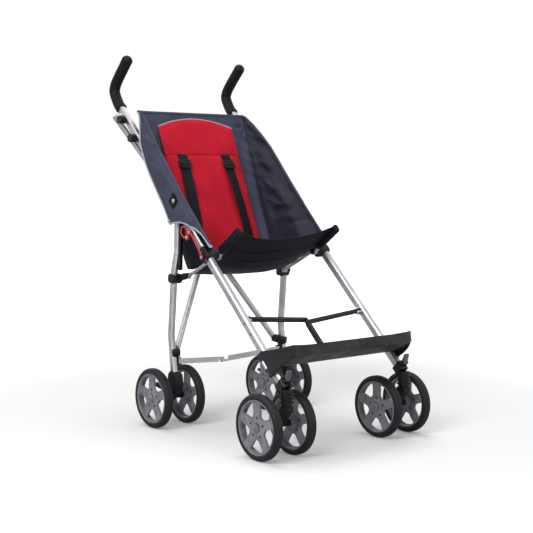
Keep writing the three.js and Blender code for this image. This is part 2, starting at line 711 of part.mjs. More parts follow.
function footplate() {
  const gap = CLEAR;
  const outer = plateAxisX + cheekThick / 2;
  const deckEnd = plateAxisX - cheekThick / 2 + 1;
  const deck = side([plateRear, plateHeel, plateBelly, plateLip, plateFront], gap, deckEnd, 0);
  const cheekOutline = [plateRear, onTube(-288, -3), onTube(-364, -3), cheekBelly, plateLip, plateFront];
  const cheek = side(cheekOutline, outer - cheekThick, outer, 1);
  const knuckles = [
    [knuckleMid - knuckleHalf - 26, knuckleMid - knuckleHalf - CLEAR],
    [knuckleMid + knuckleHalf + CLEAR, knuckleMid + knuckleHalf + 26],
  ].map(([s0, s1]) => tubeAt(circle([plateAxisX, plateAxisN], knuckleRadius, 14), s0, s1));
  const relief = tubeAt(
    [
      [outer + 1, -60], [mainInner - 8, -60],
      [mainInner - 8, tubeDepth / 2 + 2], [outer + 1, tubeDepth / 2 + 2],
    ],
    -460,
    -200,
  );
  const pinRound = circle([plateAxisX, plateAxisN], platePin + CLEAR, 10);
  const pinHole = tubeAt(pinRound, knuckleMid - 36, knuckleMid + 36);
  const knuckleGap = tubeAt(
    circle([plateAxisX, plateAxisN], knuckleRadius + CLEAR, 14),
    knuckleMid - knuckleHalf - CLEAR,
    knuckleMid + knuckleHalf + CLEAR,
  );
  return cut(join(cut(deck, relief), cheek, ...knuckles), pinHole, knuckleGap);
}

placeBoth('footplate', footplate(), 'plate');

// Link from the spreader's middle rivet down to the footplate's rear edge.
const linkTop = spreaderReach - spreaderDrop;
const linkFoot = plateTop[0] + 1.5;
const linkBody = tubeAt(
  [[-6, spreaderMidN - 7], [6, spreaderMidN - 7], [6, spreaderMidN + 7], [-6, spreaderMidN + 7]],
  linkFoot + 8,
  linkTop - 2 * spreaderHalf - 3 * CLEAR,
);
place(part, 'spreader_link', linkBody, 'plastic');

// ---------------------------------------------------------------- seat tubes and their brackets
const seatHole = bar(seatPivot, 5 + CLEAR, seatInner - 1, seatOuter + 1, 12);
const seatEye = bar(seatPivot, 14, seatInner, seatOuter, 14);
const stayRadius = 5;
const seatStay = rod([seatX, ...seatPivot], [seatX, ...stayEnd], stayRadius);
const stayEye = bar(stayEnd, 8, seatInner + 2, seatOuter, 14);
const seatArm = band([seatPivot, seatTip], seatDepth, seatInner, seatOuter, 4);
placeBoth('seat_tube', cut(join(seatArm, seatEye, seatStay, stayEye), seatHole), 'alloy');

const bracketOuter = mainOuter + 4;
const saddleMid = shift(seatPivot, along, 5);
const seatSaddle = saddle(saddleMid, along, 23, tubeDepth / 2 + 6, seatOuter + CLEAR, bracketOuter);
const mainTunnel = band(
  [onTube(seatReach - 130), onTube(seatReach + 130)],
  tubeDepth + 2 * CLEAR,
  mainInner - CLEAR,
  mainOuter + CLEAR,
  tubeBevel,
);
const seatPin = bar(seatPivot, 5, seatInner - 1, seatOuter + 2, 12);
const seatPinHead = bar(seatPivot, 10, seatInner - 4, seatInner - 0.6, 12);
placeBoth('seat_bracket', join(cut(seatSaddle, mainTunnel), seatPin, seatPinHead), 'plastic');

const runnerBlock = saddle(slideTop, slideDown, 14, legDepth / 2 + 5, seatOuter + CLEAR, footOuter + 4);
const runnerTunnel = band(
  [shift(slideTop, slideDown, -20), shift(slideTop, slideDown, 40)],
  legDepth + 2,
  footInner - 0.5,
  footOuter + 0.5,
  3,
);
const runnerEar = side(slot(slideTop, stayEnd, 10, 9), seatOuter + CLEAR, footInner - 1.5, 1);
placeBoth('leg_runner', join(cut(runnerBlock, runnerTunnel), runnerEar), 'plastic');

// ---------------------------------------------------------------- release levers and knobs
const leverIn = bracketOuter + 1;
const leverOut = leverIn + 5;
const [leverRing, leverBeak] = from(leverPivot, [[24.7, 15.8], [13.7, -10.2]]);
const leverTail = onTube(leverReach - 75);
const leverBoss = bar(leverPivot, 7, mainOuter + CLEAR, leverIn + 1, 12);
const leverArm = side(slot(leverTail, leverPivot, 5, 9), leverIn, leverOut, 1);
const leverHook = side(slot(leverPivot, leverBeak, 6, 4), leverIn, leverOut, 1);
const ring = side(circle(leverRing, 15, 20), leverIn, leverOut, 0, [circle(leverRing, 9, 14)]);
const leverPlain = join(leverBoss, leverArm, leverHook);
place(part, 'release_lever_l', leverPlain, 'plastic');
const neckEnd = shift(leverPivot, unit(leverPivot, leverRing), 17);
const leverNeck = side(slot(leverPivot, neckEnd, 5), leverIn, leverOut);
place(part, 'release_lever_r', mirrored(join(leverPlain, leverNeck, ring)), 'red_plastic');

const knobRadius = 13;
const upperKnobDrop = 51;          // down the tube from the grip's mouth
const lowerKnobDrop = 136;

function knob(s) {
  const centre = onTube(s);
  const grooves = Array.from({ length: 6 }, (_, i) => {
    const a = (i * Math.PI) / 3;
    const at = [centre[0] + 15 * Math.cos(a), centre[1] + 15 * Math.sin(a)];
    return bar(at, 4, mainOuter + 6, mainOuter + 40, 6);
  });
  const body = bar(centre, knobRadius, mainOuter + 5, mainOuter + 25, 18);
  const stem = bar(centre, 5, mainOuter + CLEAR, mainOuter + 8, 12);
  return join(cut(body, ...grooves), stem);
}

placeBoth('knob_upper', knob(tubeTopReach - upperKnobDrop), 'plastic');
placeBoth('knob_lower', knob(tubeTopReach - lowerKnobDrop), 'plastic');

// ---------------------------------------------------------------- fabric
// The sling is drawn on the handle tube: each point is a share of the way from the seat tube's pivot to the
// grip's mouth, and a step out of the tube's front.
const onCloth = ([share, n]) => onTube(seatReach + share * (tubeTopReach - seatReach), n);
const backFoot = from(seatPivot, [[188.2, -57]])[0];
const backTop = onCloth([0.915, 36.1]);
const panelTop = onCloth([0.896, 39.5]);
const wingEdge = [
  [0.7178, 69.3], [0.5384, 59.5], [0.3735, 53.5], [0.2311, 43.4], [0.161, 39.1],
].map(onCloth);
const wingHem = [[0.2019, 5.6], [0.2631, -23.4], [0.3192, -77.2]].map(onCloth);
const [wingToe, wingHeel, wingRear] = from(seatPivot, [[40.2, 73], [48.2, 33], [198.2, -27]]);
const clothThick = 4;
const wingTopX = mainInner - 7.4;
const wingFootX = seatInner - 4;
const wingFootZ = seatPivot[1] + 18;
const slack = 100;                 // how far the trimming blocks reach past the sling

function wallX(z) {
  const k = (z - wingFootZ) / (backTop[1] - wingFootZ);
  return wingFootX + (wingTopX - wingFootX) * k;
}

// Block round the whole sling in the side view, leaned inward toward the seat like its side walls.
function leanedBlock(x0, x1) {
  const [front, rear] = [wingToe[0] - slack, backTop[0] + slack];
  return leaned(box(x0, x1, front, rear, backFoot[1] - slack, backTop[1] + slack));
}

function leaned(geometry) {
  const p = geometry.attributes.position;
  for (let i = 0; i < p.count; i += 1) {
    p.setX(i, p.getX(i) + wallX(p.getZ(i)) - wingTopX);
  }
  return geometry;
}

// The back, and on each side an inner wall, a bridge round the handle tube's front and an outer panel.
function sling() {
  const rearSheet = side(bandOutline([backFoot, backTop], clothThick + 2), -wingTopX, wingTopX);
  const trim = leanedBlock(wingTopX, wingTopX + slack);
  const sheet = cut(rearSheet, trim, mirrored(trim));
  const wallOutline = [backTop, ...wingEdge, wingToe, wingHeel, backFoot, wingRear];
  const wall = leaned(side(wallOutline, wingTopX - clothThick, wingTopX));
  const panelIn = mainOuter + CLEAR;
  const outerPanel = side([panelTop, ...wingEdge, ...wingHem], panelIn, panelIn + clothThick - 1);
  const frontEdge = bandOutline([panelTop, ...wingEdge], clothThick);
  const bridge = cut(side(frontEdge, wingFootX / 2, panelIn + 1), leanedBlock(0, wingTopX - 2));
  const wing = join(wall, bridge, outerPanel);
  return join(sheet, wing, mirrored(wing));
}

place(part, 'sling', sling(), 'slate_fabric');

// The pad lies on the back. Its outlines are (x, up the back), pushed out of the back's front.
const padUp = unit(backFoot, backTop);
const padOut = [-padUp[1], padUp[0]];
const padRoot = shift(backFoot, padOut, clothThick / 2 + 1 + CLEAR);
const PAD = [[1, 0, 0], [0, ...padUp], [0, ...padOut]];
const onPad = (points, d0, d1, bevel = 0) => prism(points, d0, d1, PAD, [0, ...padRoot], bevel);
const backLength = Math.hypot(backTop[0] - backFoot[0], backTop[1] - backFoot[1]);
const padThick = 10;
const padHalf = wingFootX - 32;
const padFoot = 30;
const padSeam = 0.714 * backLength;      // lower edge of the top panel, which laps over the pad
const archTop = backLength - 23;
const archRise = 29;
const panelThick = 3;
const archFacets = 10;

function backPad() {
  const arch = Array.from({ length: archFacets + 1 }, (_, i) => {
    const x = padHalf * (1 - (2 * i) / archFacets);
    return [x, archTop - archRise * (x / padHalf) ** 2];
  });
  const pad = onPad([[-padHalf, padFoot], [padHalf, padFoot], ...arch], 0, padThick, 2);
  const panelOutline = [[-padHalf, padSeam], [padHalf, padSeam], ...arch];
  const topPanel = onPad(panelOutline, padThick - 3, padThick + panelThick, 1);
  return join(pad, topPanel);
}

place(part, 'back_pad', backPad(), 'red_fabric');

// Each strap comes out under the top panel and spreads as it goes down to the seat.
const strapTopX = padHalf - 60;
const strapFootX = padHalf - 45;
const strapHalf = 19;
const strapThick = 3;
const strapFoot = 62;
const strapHead = padSeam - 1;
const strapOutline = [
  [strapFootX - strapHalf, strapFoot], [strapFootX + strapHalf, strapFoot],
  [strapTopX + strapHalf, strapHead], [strapTopX - strapHalf, strapHead],
];
placeBoth('shoulder_strap', onPad(strapOutline, padThick + CLEAR, padThick + CLEAR + strapThick), 'webbing');

const panThick = 8;
const panLine = from(
  seatPivot,
  [[180.2, -75], [98.2, -65], [25.2, -41], [-21.8, -5], [-59.8, 39], [-95.8, 70]],
);
const panHalf = seatInner - CLEAR;
const panSheet = side(bandOutline(panLine, panThick), -panHalf, panHalf);
const panBow = 36;                 // how far the front edge curves in between its corners
const bowRadius = (panHalf ** 2 + panBow ** 2) / (2 * panBow);
const bowFacets = 120;
const bow = new THREE.CylinderGeometry(bowRadius, bowRadius, 4 * slack, bowFacets)
  .rotateX(Math.PI / 2)
  .translate(0, panLine[5][0] - 3 + panBow - bowRadius, seatPivot[1]);
place(part, 'seat_pan', cut(panSheet, bow), 'navy_fabric');

// ---------------------------------------------------------------- origin
// The origin is the middle of the footprint, on the floor.
part.updateMatrixWorld(true);
const bounds = new THREE.Box3().setFromObject(part);
const centre = bounds.getCenter(new THREE.Vector3());
part.position.set(-centre.x, -centre.y, -bounds.min.z);
part.updateMatrixWorld(true);

export default part;
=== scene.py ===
"""Dresses the folding push buggy: finishes, wheels, grips, fabric seat, trim, stage, light and camera.

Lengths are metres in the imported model's frame: +Z up, -Y the way the child faces, +X the child's left.
Sizes given in millimetres say so and are turned to metres when a mesh is made.
"""

import json
import logging
import math
from collections.abc import Callable
from dataclasses import dataclass, field
from enum import Enum

import bmesh
import bpy
import numpy as np
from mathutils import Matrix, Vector
from mathutils.kdtree import KDTree

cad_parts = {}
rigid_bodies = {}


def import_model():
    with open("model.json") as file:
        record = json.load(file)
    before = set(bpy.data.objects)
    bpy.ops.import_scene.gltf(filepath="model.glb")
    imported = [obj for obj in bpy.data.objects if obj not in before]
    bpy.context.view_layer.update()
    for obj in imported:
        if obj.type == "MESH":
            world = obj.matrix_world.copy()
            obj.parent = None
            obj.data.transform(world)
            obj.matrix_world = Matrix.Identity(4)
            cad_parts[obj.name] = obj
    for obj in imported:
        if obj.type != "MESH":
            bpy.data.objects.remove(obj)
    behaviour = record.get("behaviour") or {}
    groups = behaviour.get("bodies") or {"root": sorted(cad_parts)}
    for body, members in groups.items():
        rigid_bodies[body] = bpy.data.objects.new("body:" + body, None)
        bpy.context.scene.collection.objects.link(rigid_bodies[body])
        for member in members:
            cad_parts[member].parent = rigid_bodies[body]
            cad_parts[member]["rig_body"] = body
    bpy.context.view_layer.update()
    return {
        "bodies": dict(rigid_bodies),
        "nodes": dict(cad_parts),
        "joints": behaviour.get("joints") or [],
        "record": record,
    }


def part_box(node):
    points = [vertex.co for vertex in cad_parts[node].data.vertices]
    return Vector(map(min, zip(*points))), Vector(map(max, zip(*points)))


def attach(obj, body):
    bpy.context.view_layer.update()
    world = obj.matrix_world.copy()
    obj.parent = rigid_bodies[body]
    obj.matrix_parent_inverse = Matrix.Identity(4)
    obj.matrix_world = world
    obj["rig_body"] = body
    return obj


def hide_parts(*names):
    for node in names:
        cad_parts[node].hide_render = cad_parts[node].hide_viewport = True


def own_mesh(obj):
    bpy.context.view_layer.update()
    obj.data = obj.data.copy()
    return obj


LOG = logging.getLogger("buggy")
MM = 0.001
TUBE_ANGLE = math.radians(44)
ALONG = np.array([0.0, math.cos(TUBE_ANGLE), math.sin(TUBE_ANGLE)])
TUBE_MID_HEIGHT = 477.0
MAIN_X = 221.4
FOLD_KEEP = 0.397
FRAMES = {"l": "left_frame", "r": "right_frame"}

Array = np.ndarray


# ---------------------------------------------------------------------------------------------- colour and nodes
def linear(code: str) -> tuple[float, float, float, float]:
    """Turns an sRGB hex colour into linear red, green, blue and a full alpha.

    Args:
        code: the colour as "#RRGGBB".

    Returns:
        The four channels, each from 0 to 1.
    """
    channels = [int(code[i : i + 2], 16) / 255 for i in (1, 3, 5)]
    turned = [c / 12.92 if c <= 0.04045 else ((c + 0.055) / 1.055) ** 2.4 for c in channels]
    return (*turned, 1.0)


def add(
    tree: bpy.types.NodeTree,
    kind: str,
    settings: dict[str | int, object] | None = None,
    links: dict[str | int, bpy.types.NodeSocket] | None = None,
) -> bpy.types.Node:
    """Adds one node, with its settings and links.

    Args:
        tree: the tree that gets the node.
        kind: the node's type.
        settings: values by input name or number, or else by the node's own property.
        links: the outputs that feed its inputs, by input name or number.

    Returns:
        The new node.
    """
    node = tree.nodes.new(kind)
    for key, value in (settings or {}).items():
        if isinstance(key, int) or key in node.inputs:
            node.inputs[key].default_value = value
        else:
            setattr(node, key, value)
    for key, source in (links or {}).items():
        tree.links.new(source, node.inputs[key])
    return node


def ramp(
    tree: bpy.types.NodeTree,
    source: bpy.types.NodeSocket,
    stops: list[tuple[float, str]],
) -> bpy.types.NodeSocket:
    """Maps a value to colours along a ramp.

    Args:
        tree: the tree that gets the ramp.
        source: the value from 0 to 1.
        stops: places along the ramp and their hex colours.

    Returns:
        The ramp's colour output.
    """
    node = add(tree, "ShaderNodeValToRGB", {}, {0: source})
    elements = node.color_ramp.elements
    while len(elements) < len(stops):
        elements.new(0.5)
    for element, (place, code) in zip(elements, stops):
        element.position = place
        element.color = linear(code)
    return node.outputs[0]


# ---------------------------------------------------------------------------------------------- finishes
@dataclass(frozen=True)
class Finish:
    """What every finish has. A finish is named for its material and how its surface was made."""

    name: str
    colour: str
    roughness: float = 0.5
    metallic: float = 0.0
    specular: float = 0.5

    def build(self) -> bpy.types.Material:
        """Makes the material once, and returns it."""
        known = bpy.data.materials.get(self.name)
        if known is not None:
            return known
        material = bpy.data.materials.new(self.name)
        material.use_nodes = True
        material.diffuse_color = linear(self.colour)
        tree = material.node_tree
        tree.nodes.clear()
        shader = add(
            tree,
            "ShaderNodeBsdfPrincipled",
            {
                "Base Color": linear(self.colour), "Roughness": self.roughness,
                "Metallic": self.metallic, "Specular IOR Level": self.specular,
            },
        )
        add(tree, "ShaderNodeOutputMaterial", {}, {"Surface": shader.outputs[0]})
        self.pattern(tree, shader)
        return material

    def pattern(self, tree: bpy.types.NodeTree, shader: bpy.types.Node) -> None:
        """Adds the surface's own pattern to the plain shader."""

    def shade(self, factor: float) -> str:
        """Returns the colour made darker (below 1) or lighter (above 1), as hex."""
        channels = [min(255, round(int(self.colour[i : i + 2], 16) * factor)) for i in (1, 3, 5)]
        return "#{:02X}{:02X}{:02X}".format(*channels)


@dataclass(frozen=True)
class DrawnAluminium(Finish):
    """Satin anodised aluminium tube, drawn through a die: faint lines run along it."""

    direction: tuple[float, float, float] = (0.0, 0.0, 1.0)
    metallic: float = 1.0
    roughness: float = 0.4

    def pattern(self, tree: bpy.types.NodeTree, shader: bpy.types.Node) -> None:
        """Noise stretched 60 times along the tube, with 1.5 mm lines across it, and a softer cloudiness."""
        turn = Vector(self.direction).rotation_difference(Vector((0, 0, 1))).to_euler()
        place = add(tree, "ShaderNodeTexCoord").outputs["Object"]
        turned = add(tree, "ShaderNodeMapping", {"Rotation": turn}, {"Vector": place}).outputs[0]
        thin = add(tree, "ShaderNodeMapping", {"Scale": (1.0, 1.0, 0.016)}, {"Vector": turned}).outputs[0]
        lines = add(tree, "ShaderNodeTexNoise", {"Scale": 660.0, "Detail": 3.0}, {"Vector": thin}).outputs[0]
        cloud = add(tree, "ShaderNodeTexNoise", {"Scale": 26.0, "Detail": 4.0}, {"Vector": place}).outputs[0]
        both = add(tree, "ShaderNodeMath", {"operation": "ADD"}, {0: lines, 1: cloud}).outputs[0]
        half = add(tree, "ShaderNodeMath", {"operation": "MULTIPLY", 1: 0.5}, {0: both}).outputs[0]
        colour = ramp(tree, half, [(0.36, self.shade(0.9)), (0.62, self.shade(1.07))])
        tree.links.new(colour, shader.inputs["Base Color"])
        span = {1: 0.35, 2: 0.65, 3: self.roughness - 0.07, 4: self.roughness + 0.1}
        gloss = add(tree, "ShaderNodeMapRange", span, {0: half})
        tree.links.new(gloss.outputs[0], shader.inputs["Roughness"])
        bump = add(tree, "ShaderNodeBump", {"Strength": 0.25, "Distance": 0.0002}, {"Height": lines})
        tree.links.new(bump.outputs[0], shader.inputs["Normal"])


@dataclass(frozen=True)
class Moulded(Finish):
    """Injection-moulded nylon or polypropylene with a spark-eroded grain, paler where it is rubbed."""

    specular: float = 0.3
    grain: float = 1.2
    depth: float = 0.12
    wear: float = 1.35

    def pattern(self, tree: bpy.types.NodeTree, shader: bpy.types.Node) -> None:
        """A fine grain of the given millimetres and slow patches of a slightly paler, glossier skin."""
        place = add(tree, "ShaderNodeTexCoord").outputs["Object"]
        scale = 1000 / self.grain
        grain = add(tree, "ShaderNodeTexNoise", {"Scale": scale, "Detail": 2.0}, {"Vector": place}).outputs[0]
        patch = add(tree, "ShaderNodeTexNoise", {"Scale": 32.0, "Detail": 5.0}, {"Vector": place}).outputs[0]
        colour = ramp(tree, patch, [(0.35, self.shade(0.88)), (0.55, self.colour), (0.75, self.shade(self.wear))])
        tree.links.new(colour, shader.inputs["Base Color"])
        span = {1: 0.3, 2: 0.7, 3: self.roughness + 0.08, 4: self.roughness - 0.08}
        gloss = add(tree, "ShaderNodeMapRange", span, {0: patch})
        tree.links.new(gloss.outputs[0], shader.inputs["Roughness"])
        bump = add(tree, "ShaderNodeBump", {"Strength": 0.5, "Distance": self.depth * MM}, {"Height": grain})
        tree.links.new(bump.outputs[0], shader.inputs["Normal"])


@dataclass(frozen=True)
class GripFoam(Finish):
    """Closed-cell rubber foam: a pebbled skin of 1.6 mm cells with a soft, broad highlight."""

    specular: float = 0.22

    def pattern(self, tree: bpy.types.NodeTree, shader: bpy.types.Node) -> None:
        """Cells from a Voronoi pattern raise the skin, and a fine noise breaks it up."""
        place = add(tree, "ShaderNodeTexCoord").outputs["Object"]
        cells = add(tree, "ShaderNodeTexVoronoi", {"Scale": 620.0}, {"Vector": place}).outputs[0]
        fine = add(tree, "ShaderNodeTexNoise", {"Scale": 1500.0, "Detail": 2.0}, {"Vector": place}).outputs[0]
        both = add(tree, "ShaderNodeMath", {"operation": "SUBTRACT"}, {0: fine, 1: cells}).outputs[0]
        colour = ramp(tree, cells, [(0.0, self.shade(1.25)), (0.8, self.shade(0.75))])
        tree.links.new(colour, shader.inputs["Base Color"])
        bump = add(tree, "ShaderNodeBump", {"Strength": 0.45, "Distance": 0.0003}, {"Height": both})
        tree.links.new(bump.outputs[0], shader.inputs["Normal"])


@dataclass(frozen=True)
class WheelPolymer(Finish):
    """Moulded wheel material, with turned mould lines about its axle and optional nut recesses, sunk by the bump and
    darkened with painted shade.

    The axle's centre is given as y and z in metres.
    """

    specular: float = 0.3
    centre: tuple[float, float] = (0.0, 0.09)
    line: float = 1.6
    shaded_nut_recesses: bool = False

    def pattern(self, tree: bpy.types.NodeTree, shader: bpy.types.Node) -> None:
        """Rings are a sine of the distance from the axle. Five recesses lie where the angle, folded to a fifth
        of a turn, and the distance meet a small circle at 26 mm."""
        place = add(tree, "ShaderNodeTexCoord").outputs["Object"]
        moved = add(
            tree, "ShaderNodeMapping", {"Location": (0.0, -self.centre[0], -self.centre[1])}, {"Vector": place}
        ).outputs[0]
        axes = add(tree, "ShaderNodeSeparateXYZ", {}, {0: moved}).outputs
        flat = add(tree, "ShaderNodeCombineXYZ", {}, {1: axes[1], 2: axes[2]}).outputs[0]
        radius = add(tree, "ShaderNodeVectorMath", {"operation": "LENGTH"}, {0: flat}).outputs["Value"]
        wave = add(
            tree, "ShaderNodeMath", {"operation": "MULTIPLY", 1: 2000 * math.pi / self.line}, {0: radius}
        ).outputs[0]
        rings = add(tree, "ShaderNodeMath", {"operation": "SINE"}, {0: wave}).outputs[0]
        patch = add(tree, "ShaderNodeTexNoise", {"Scale": 45.0, "Detail": 5.0}, {"Vector": place}).outputs[0]
        colour = ramp(tree, patch, [(0.3, self.shade(0.86)), (0.7, self.shade(1.12))])
        height = add(
            tree, "ShaderNodeMath", {"operation": "MULTIPLY_ADD", 1: 0.12}, {0: rings, 2: patch}
        ).outputs[0]
        # Inside the five nut recesses the colour is darkened to 0.42 of itself as painted shade, and the bump sinks
        # them.
        if self.shaded_nut_recesses:
            recess_shade_mask = self.recesses(tree, axes, radius)
            colour = add(
                tree,
                "ShaderNodeMix",
                {"data_type": "RGBA", 7: linear(self.shade(0.42))},
                {0: recess_shade_mask, 6: colour},
            ).outputs[2]
            height = add(tree, "ShaderNodeMath", {"operation": "SUBTRACT"}, {0: height, 1: recess_shade_mask}).outputs[0]
        tree.links.new(colour, shader.inputs["Base Color"])
        bump = add(tree, "ShaderNodeBump", {"Strength": 0.5, "Distance": 0.0003}, {"Height": height})
        tree.links.new(bump.outputs[0], shader.inputs["Normal"])

    def recesses(
        self, tree: bpy.types.NodeTree, axes: bpy.types.bpy_prop_collection, radius: bpy.types.NodeSocket
    ) -> bpy.types.NodeSocket:
        """Returns 1 inside the five nut recesses and 0 elsewhere. The mask both sinks the bump and darkens the colour
        with painted shade.
        """
        angle = add(tree, "ShaderNodeMath", {"operation": "ARCTAN2"}, {0: axes[1], 1: axes[2]}).outputs[0]
        fifth = 2 * math.pi / 5
        turned = add(tree, "ShaderNodeMath", {"operation": "ADD", 1: fifth * 10.5}, {0: angle}).outputs[0]
        folded = add(tree, "ShaderNodeMath", {"operation": "MODULO", 1: fifth}, {0: turned}).outputs[0]
        centred = add(tree, "ShaderNodeMath", {"operation": "SUBTRACT", 1: fifth / 2}, {0: folded}).outputs[0]
        sine = add(tree, "ShaderNodeMath", {"operation": "SINE"}, {0: centred}).outputs[0]
        cosine = add(tree, "ShaderNodeMath", {"operation": "COSINE"}, {0: centred}).outputs[0]
        across = add(tree, "ShaderNodeMath", {"operation": "MULTIPLY"}, {0: sine, 1: radius}).outputs[0]
        out = add(tree, "ShaderNodeMath", {"operation": "MULTIPLY"}, {0: cosine, 1: radius}).outputs[0]
        beyond = add(tree, "ShaderNodeMath", {"operation": "SUBTRACT", 1: 0.0265}, {0: out}).outputs[0]
        both = add(tree, "ShaderNodeCombineXYZ", {}, {0: across, 1: beyond}).outputs[0]
        away = add(tree, "ShaderNodeVectorMath", {"operation": "LENGTH"}, {0: both}).outputs["Value"]
        return add(tree, "ShaderNodeMapRange", {1: 0.0036, 2: 0.0043, 3: 1.0, 4: 0.0}, {0: away}).outputs[0]


@dataclass(frozen=True)
class Woven(Finish):
    """Plain-woven coated polyester: warp and weft threads, a dry sheen and slow changes of tone.

    Thread spacing is in millimetres. Real thread is about 0.5 mm and would not show, so it is drawn coarser.
    """

    specular: float = 0.12
    thread: float = 1.5
    relief: float = 0.22
    sheen: float = 0.04
    mottle: float = 0.1

    def pattern(self, tree: bpy.types.NodeTree, shader: bpy.types.Node) -> None:
        """Height is the product of a sine across and a sine along the cloth, with a slub noise on top."""
        cloth = add(tree, "ShaderNodeUVMap", {"uv_map": "UVMap"}).outputs[0]
        axes = add(tree, "ShaderNodeSeparateXYZ", {}, {0: cloth}).outputs
        waves = []
        for axis in (0, 1):
            scaled = add(
                tree, "ShaderNodeMath", {"operation": "MULTIPLY", 1: 1000 * math.pi / self.thread}, {0: axes[axis]}
            ).outputs[0]
            waves.append(add(tree, "ShaderNodeMath", {"operation": "SINE"}, {0: scaled}).outputs[0])
        weave = add(tree, "ShaderNodeMath", {"operation": "MULTIPLY"}, {0: waves[0], 1: waves[1]}).outputs[0]
        place = add(tree, "ShaderNodeTexCoord").outputs["Object"]
        slub = add(tree, "ShaderNodeTexNoise", {"Scale": 420.0, "Detail": 3.0}, {"Vector": place}).outputs[0]
        tone = add(tree, "ShaderNodeTexNoise", {"Scale": 11.0, "Detail": 6.0}, {"Vector": place}).outputs[0]
        mixed = add(
            tree, "ShaderNodeMath", {"operation": "MULTIPLY_ADD", 1: 0.14}, {0: weave, 2: tone}
        ).outputs[0]
        low, high = 1 - self.mottle, 1 + self.mottle
        colour = ramp(tree, mixed, [(0.3, self.shade(low)), (0.7, self.shade(high))])
        tree.links.new(colour, shader.inputs["Base Color"])
        height = add(tree, "ShaderNodeMath", {"operation": "ADD"}, {0: weave, 1: slub}).outputs[0]
        bump = add(tree, "ShaderNodeBump", {"Strength": 0.35, "Distance": self.relief * MM}, {"Height": height})
        tree.links.new(bump.outputs[0], shader.inputs["Normal"])
        shader.inputs["Sheen Weight"].default_value = self.sheen
        shader.inputs["Sheen Roughness"].default_value = 0.45


@dataclass(frozen=True)
class Webbing(Finish):
    """Ribbed polypropylene webbing: ribs across the strap and a herringbone of yarns along it."""

    specular: float = 0.15
    rib: float = 2.2

    def pattern(self, tree: bpy.types.NodeTree, shader: bpy.types.Node) -> None:
        """Ribs are a sine along the strap whose phase zigzags across it."""
        cloth = add(tree, "ShaderNodeUVMap", {"uv_map": "UVMap"}).outputs[0]
        axes = add(tree, "ShaderNodeSeparateXYZ", {}, {0: cloth}).outputs
        zigzag = add(tree, "ShaderNodeMath", {"operation": "PINGPONG", 1: 0.0045}, {0: axes[0]}).outputs[0]
        slanted = add(tree, "ShaderNodeMath", {"operation": "ADD"}, {0: zigzag, 1: axes[1]}).outputs[0]
        scaled = add(
            tree, "ShaderNodeMath", {"operation": "MULTIPLY", 1: 2000 * math.pi / self.rib}, {0: slanted}
        ).outputs[0]
        ribs = add(tree, "ShaderNodeMath", {"operation": "SINE"}, {0: scaled}).outputs[0]
        spread = add(tree, "ShaderNodeMapRange", {1: -1.0, 2: 1.0}, {0: ribs}).outputs[0]
        colour = ramp(tree, spread, [(0.1, self.shade(0.7)), (0.9, self.shade(1.3))])
        tree.links.new(colour, shader.inputs["Base Color"])
        bump = add(tree, "ShaderNodeBump", {"Strength": 0.5, "Distance": 0.0003}, {"Height": ribs})
        tree.links.new(bump.outputs[0], shader.inputs["Normal"])
        shader.inputs["Sheen Weight"].default_value = 0.03


def alloy(name: str, direction: Array) -> DrawnAluminium:
    """Returns the tube finish for a tube that runs in that direction."""
    return DrawnAluminium(f"satin anodised aluminium {name}", "#BEBBC1", direction=tuple(float(v) for v in direction))


class Look(Enum):
    """The finishes of the buggy's own pieces."""

    HANDLE_TUBE = alloy("handle tube", ALONG)
    REAR_LEG = alloy("rear leg", np.array([0.0, 0.06, 1.0]))
    SEAT_TUBE = alloy("seat tube", np.array([0.0, 0.86, -0.51]))
    SPREADER = alloy("rear spreader", np.array([1.0, 0.0, 0.0]))
    CROSS_BAR = alloy("cross bar", np.array([0.48, 0.18, 0.86]))
    NYLON = Moulded("spark-eroded black nylon", "#121215", roughness=0.48)
    PLATE = Moulded("grained black polypropylene", "#221E23", roughness=0.5, grain=1.6, depth=0.2)
    KNOB = Moulded("smooth black nylon", "#141415", roughness=0.35, grain=2.5, depth=0.05)
    LATCH = Moulded("grey moulded acetal", "#6E6B70", roughness=0.45)
    LEVER = Moulded("red gloss ABS", "#C03A48", roughness=0.28, grain=6.0, depth=0.04, wear=1.06)
    FOAM = GripFoam("closed-cell black foam", "#0F0F10", roughness=0.62)
    STUD = Moulded("nickel-plated brass", "#B4B2B6", roughness=0.3, metallic=0.9, grain=0.8, depth=0.05)
    SPRING = Moulded("blackened spring steel", "#232326", roughness=0.38, metallic=0.6, grain=0.9, depth=0.05)
    SLATE = Woven("slate woven polyester", "#474A5C", roughness=0.72)
    # A darker copy of the slate cloth for the wings' inner faces: painted shade for the shade that falls inside the
    # seat.
    SLATE_PAINTED_SHADE = Woven("slate woven polyester, inner side with painted shade", "#30323D", roughness=0.6)
    NAVY = Woven("navy woven polyester", "#131822", roughness=0.6, sheen=0.02)
    RED = Woven("red woven polyester", "#CD1D33", roughness=0.78, mottle=0.07)
    BLACK_CLOTH = Woven("black woven binding", "#101115", roughness=0.7)
    PIPING = Woven("silver-grey piping tape", "#B9BCC2", roughness=0.55, thread=1.2, sheen=0.1, mottle=0.05)
    STRAP = Webbing("black polypropylene webbing", "#0E0E10", roughness=0.62)
    BUCKLE = Moulded("black acetal buckle", "#0A0A0B", roughness=0.3, grain=3.0, depth=0.04)

    def material(self) -> bpy.types.Material:
        """Returns the finish's material."""
        return self.value.build()


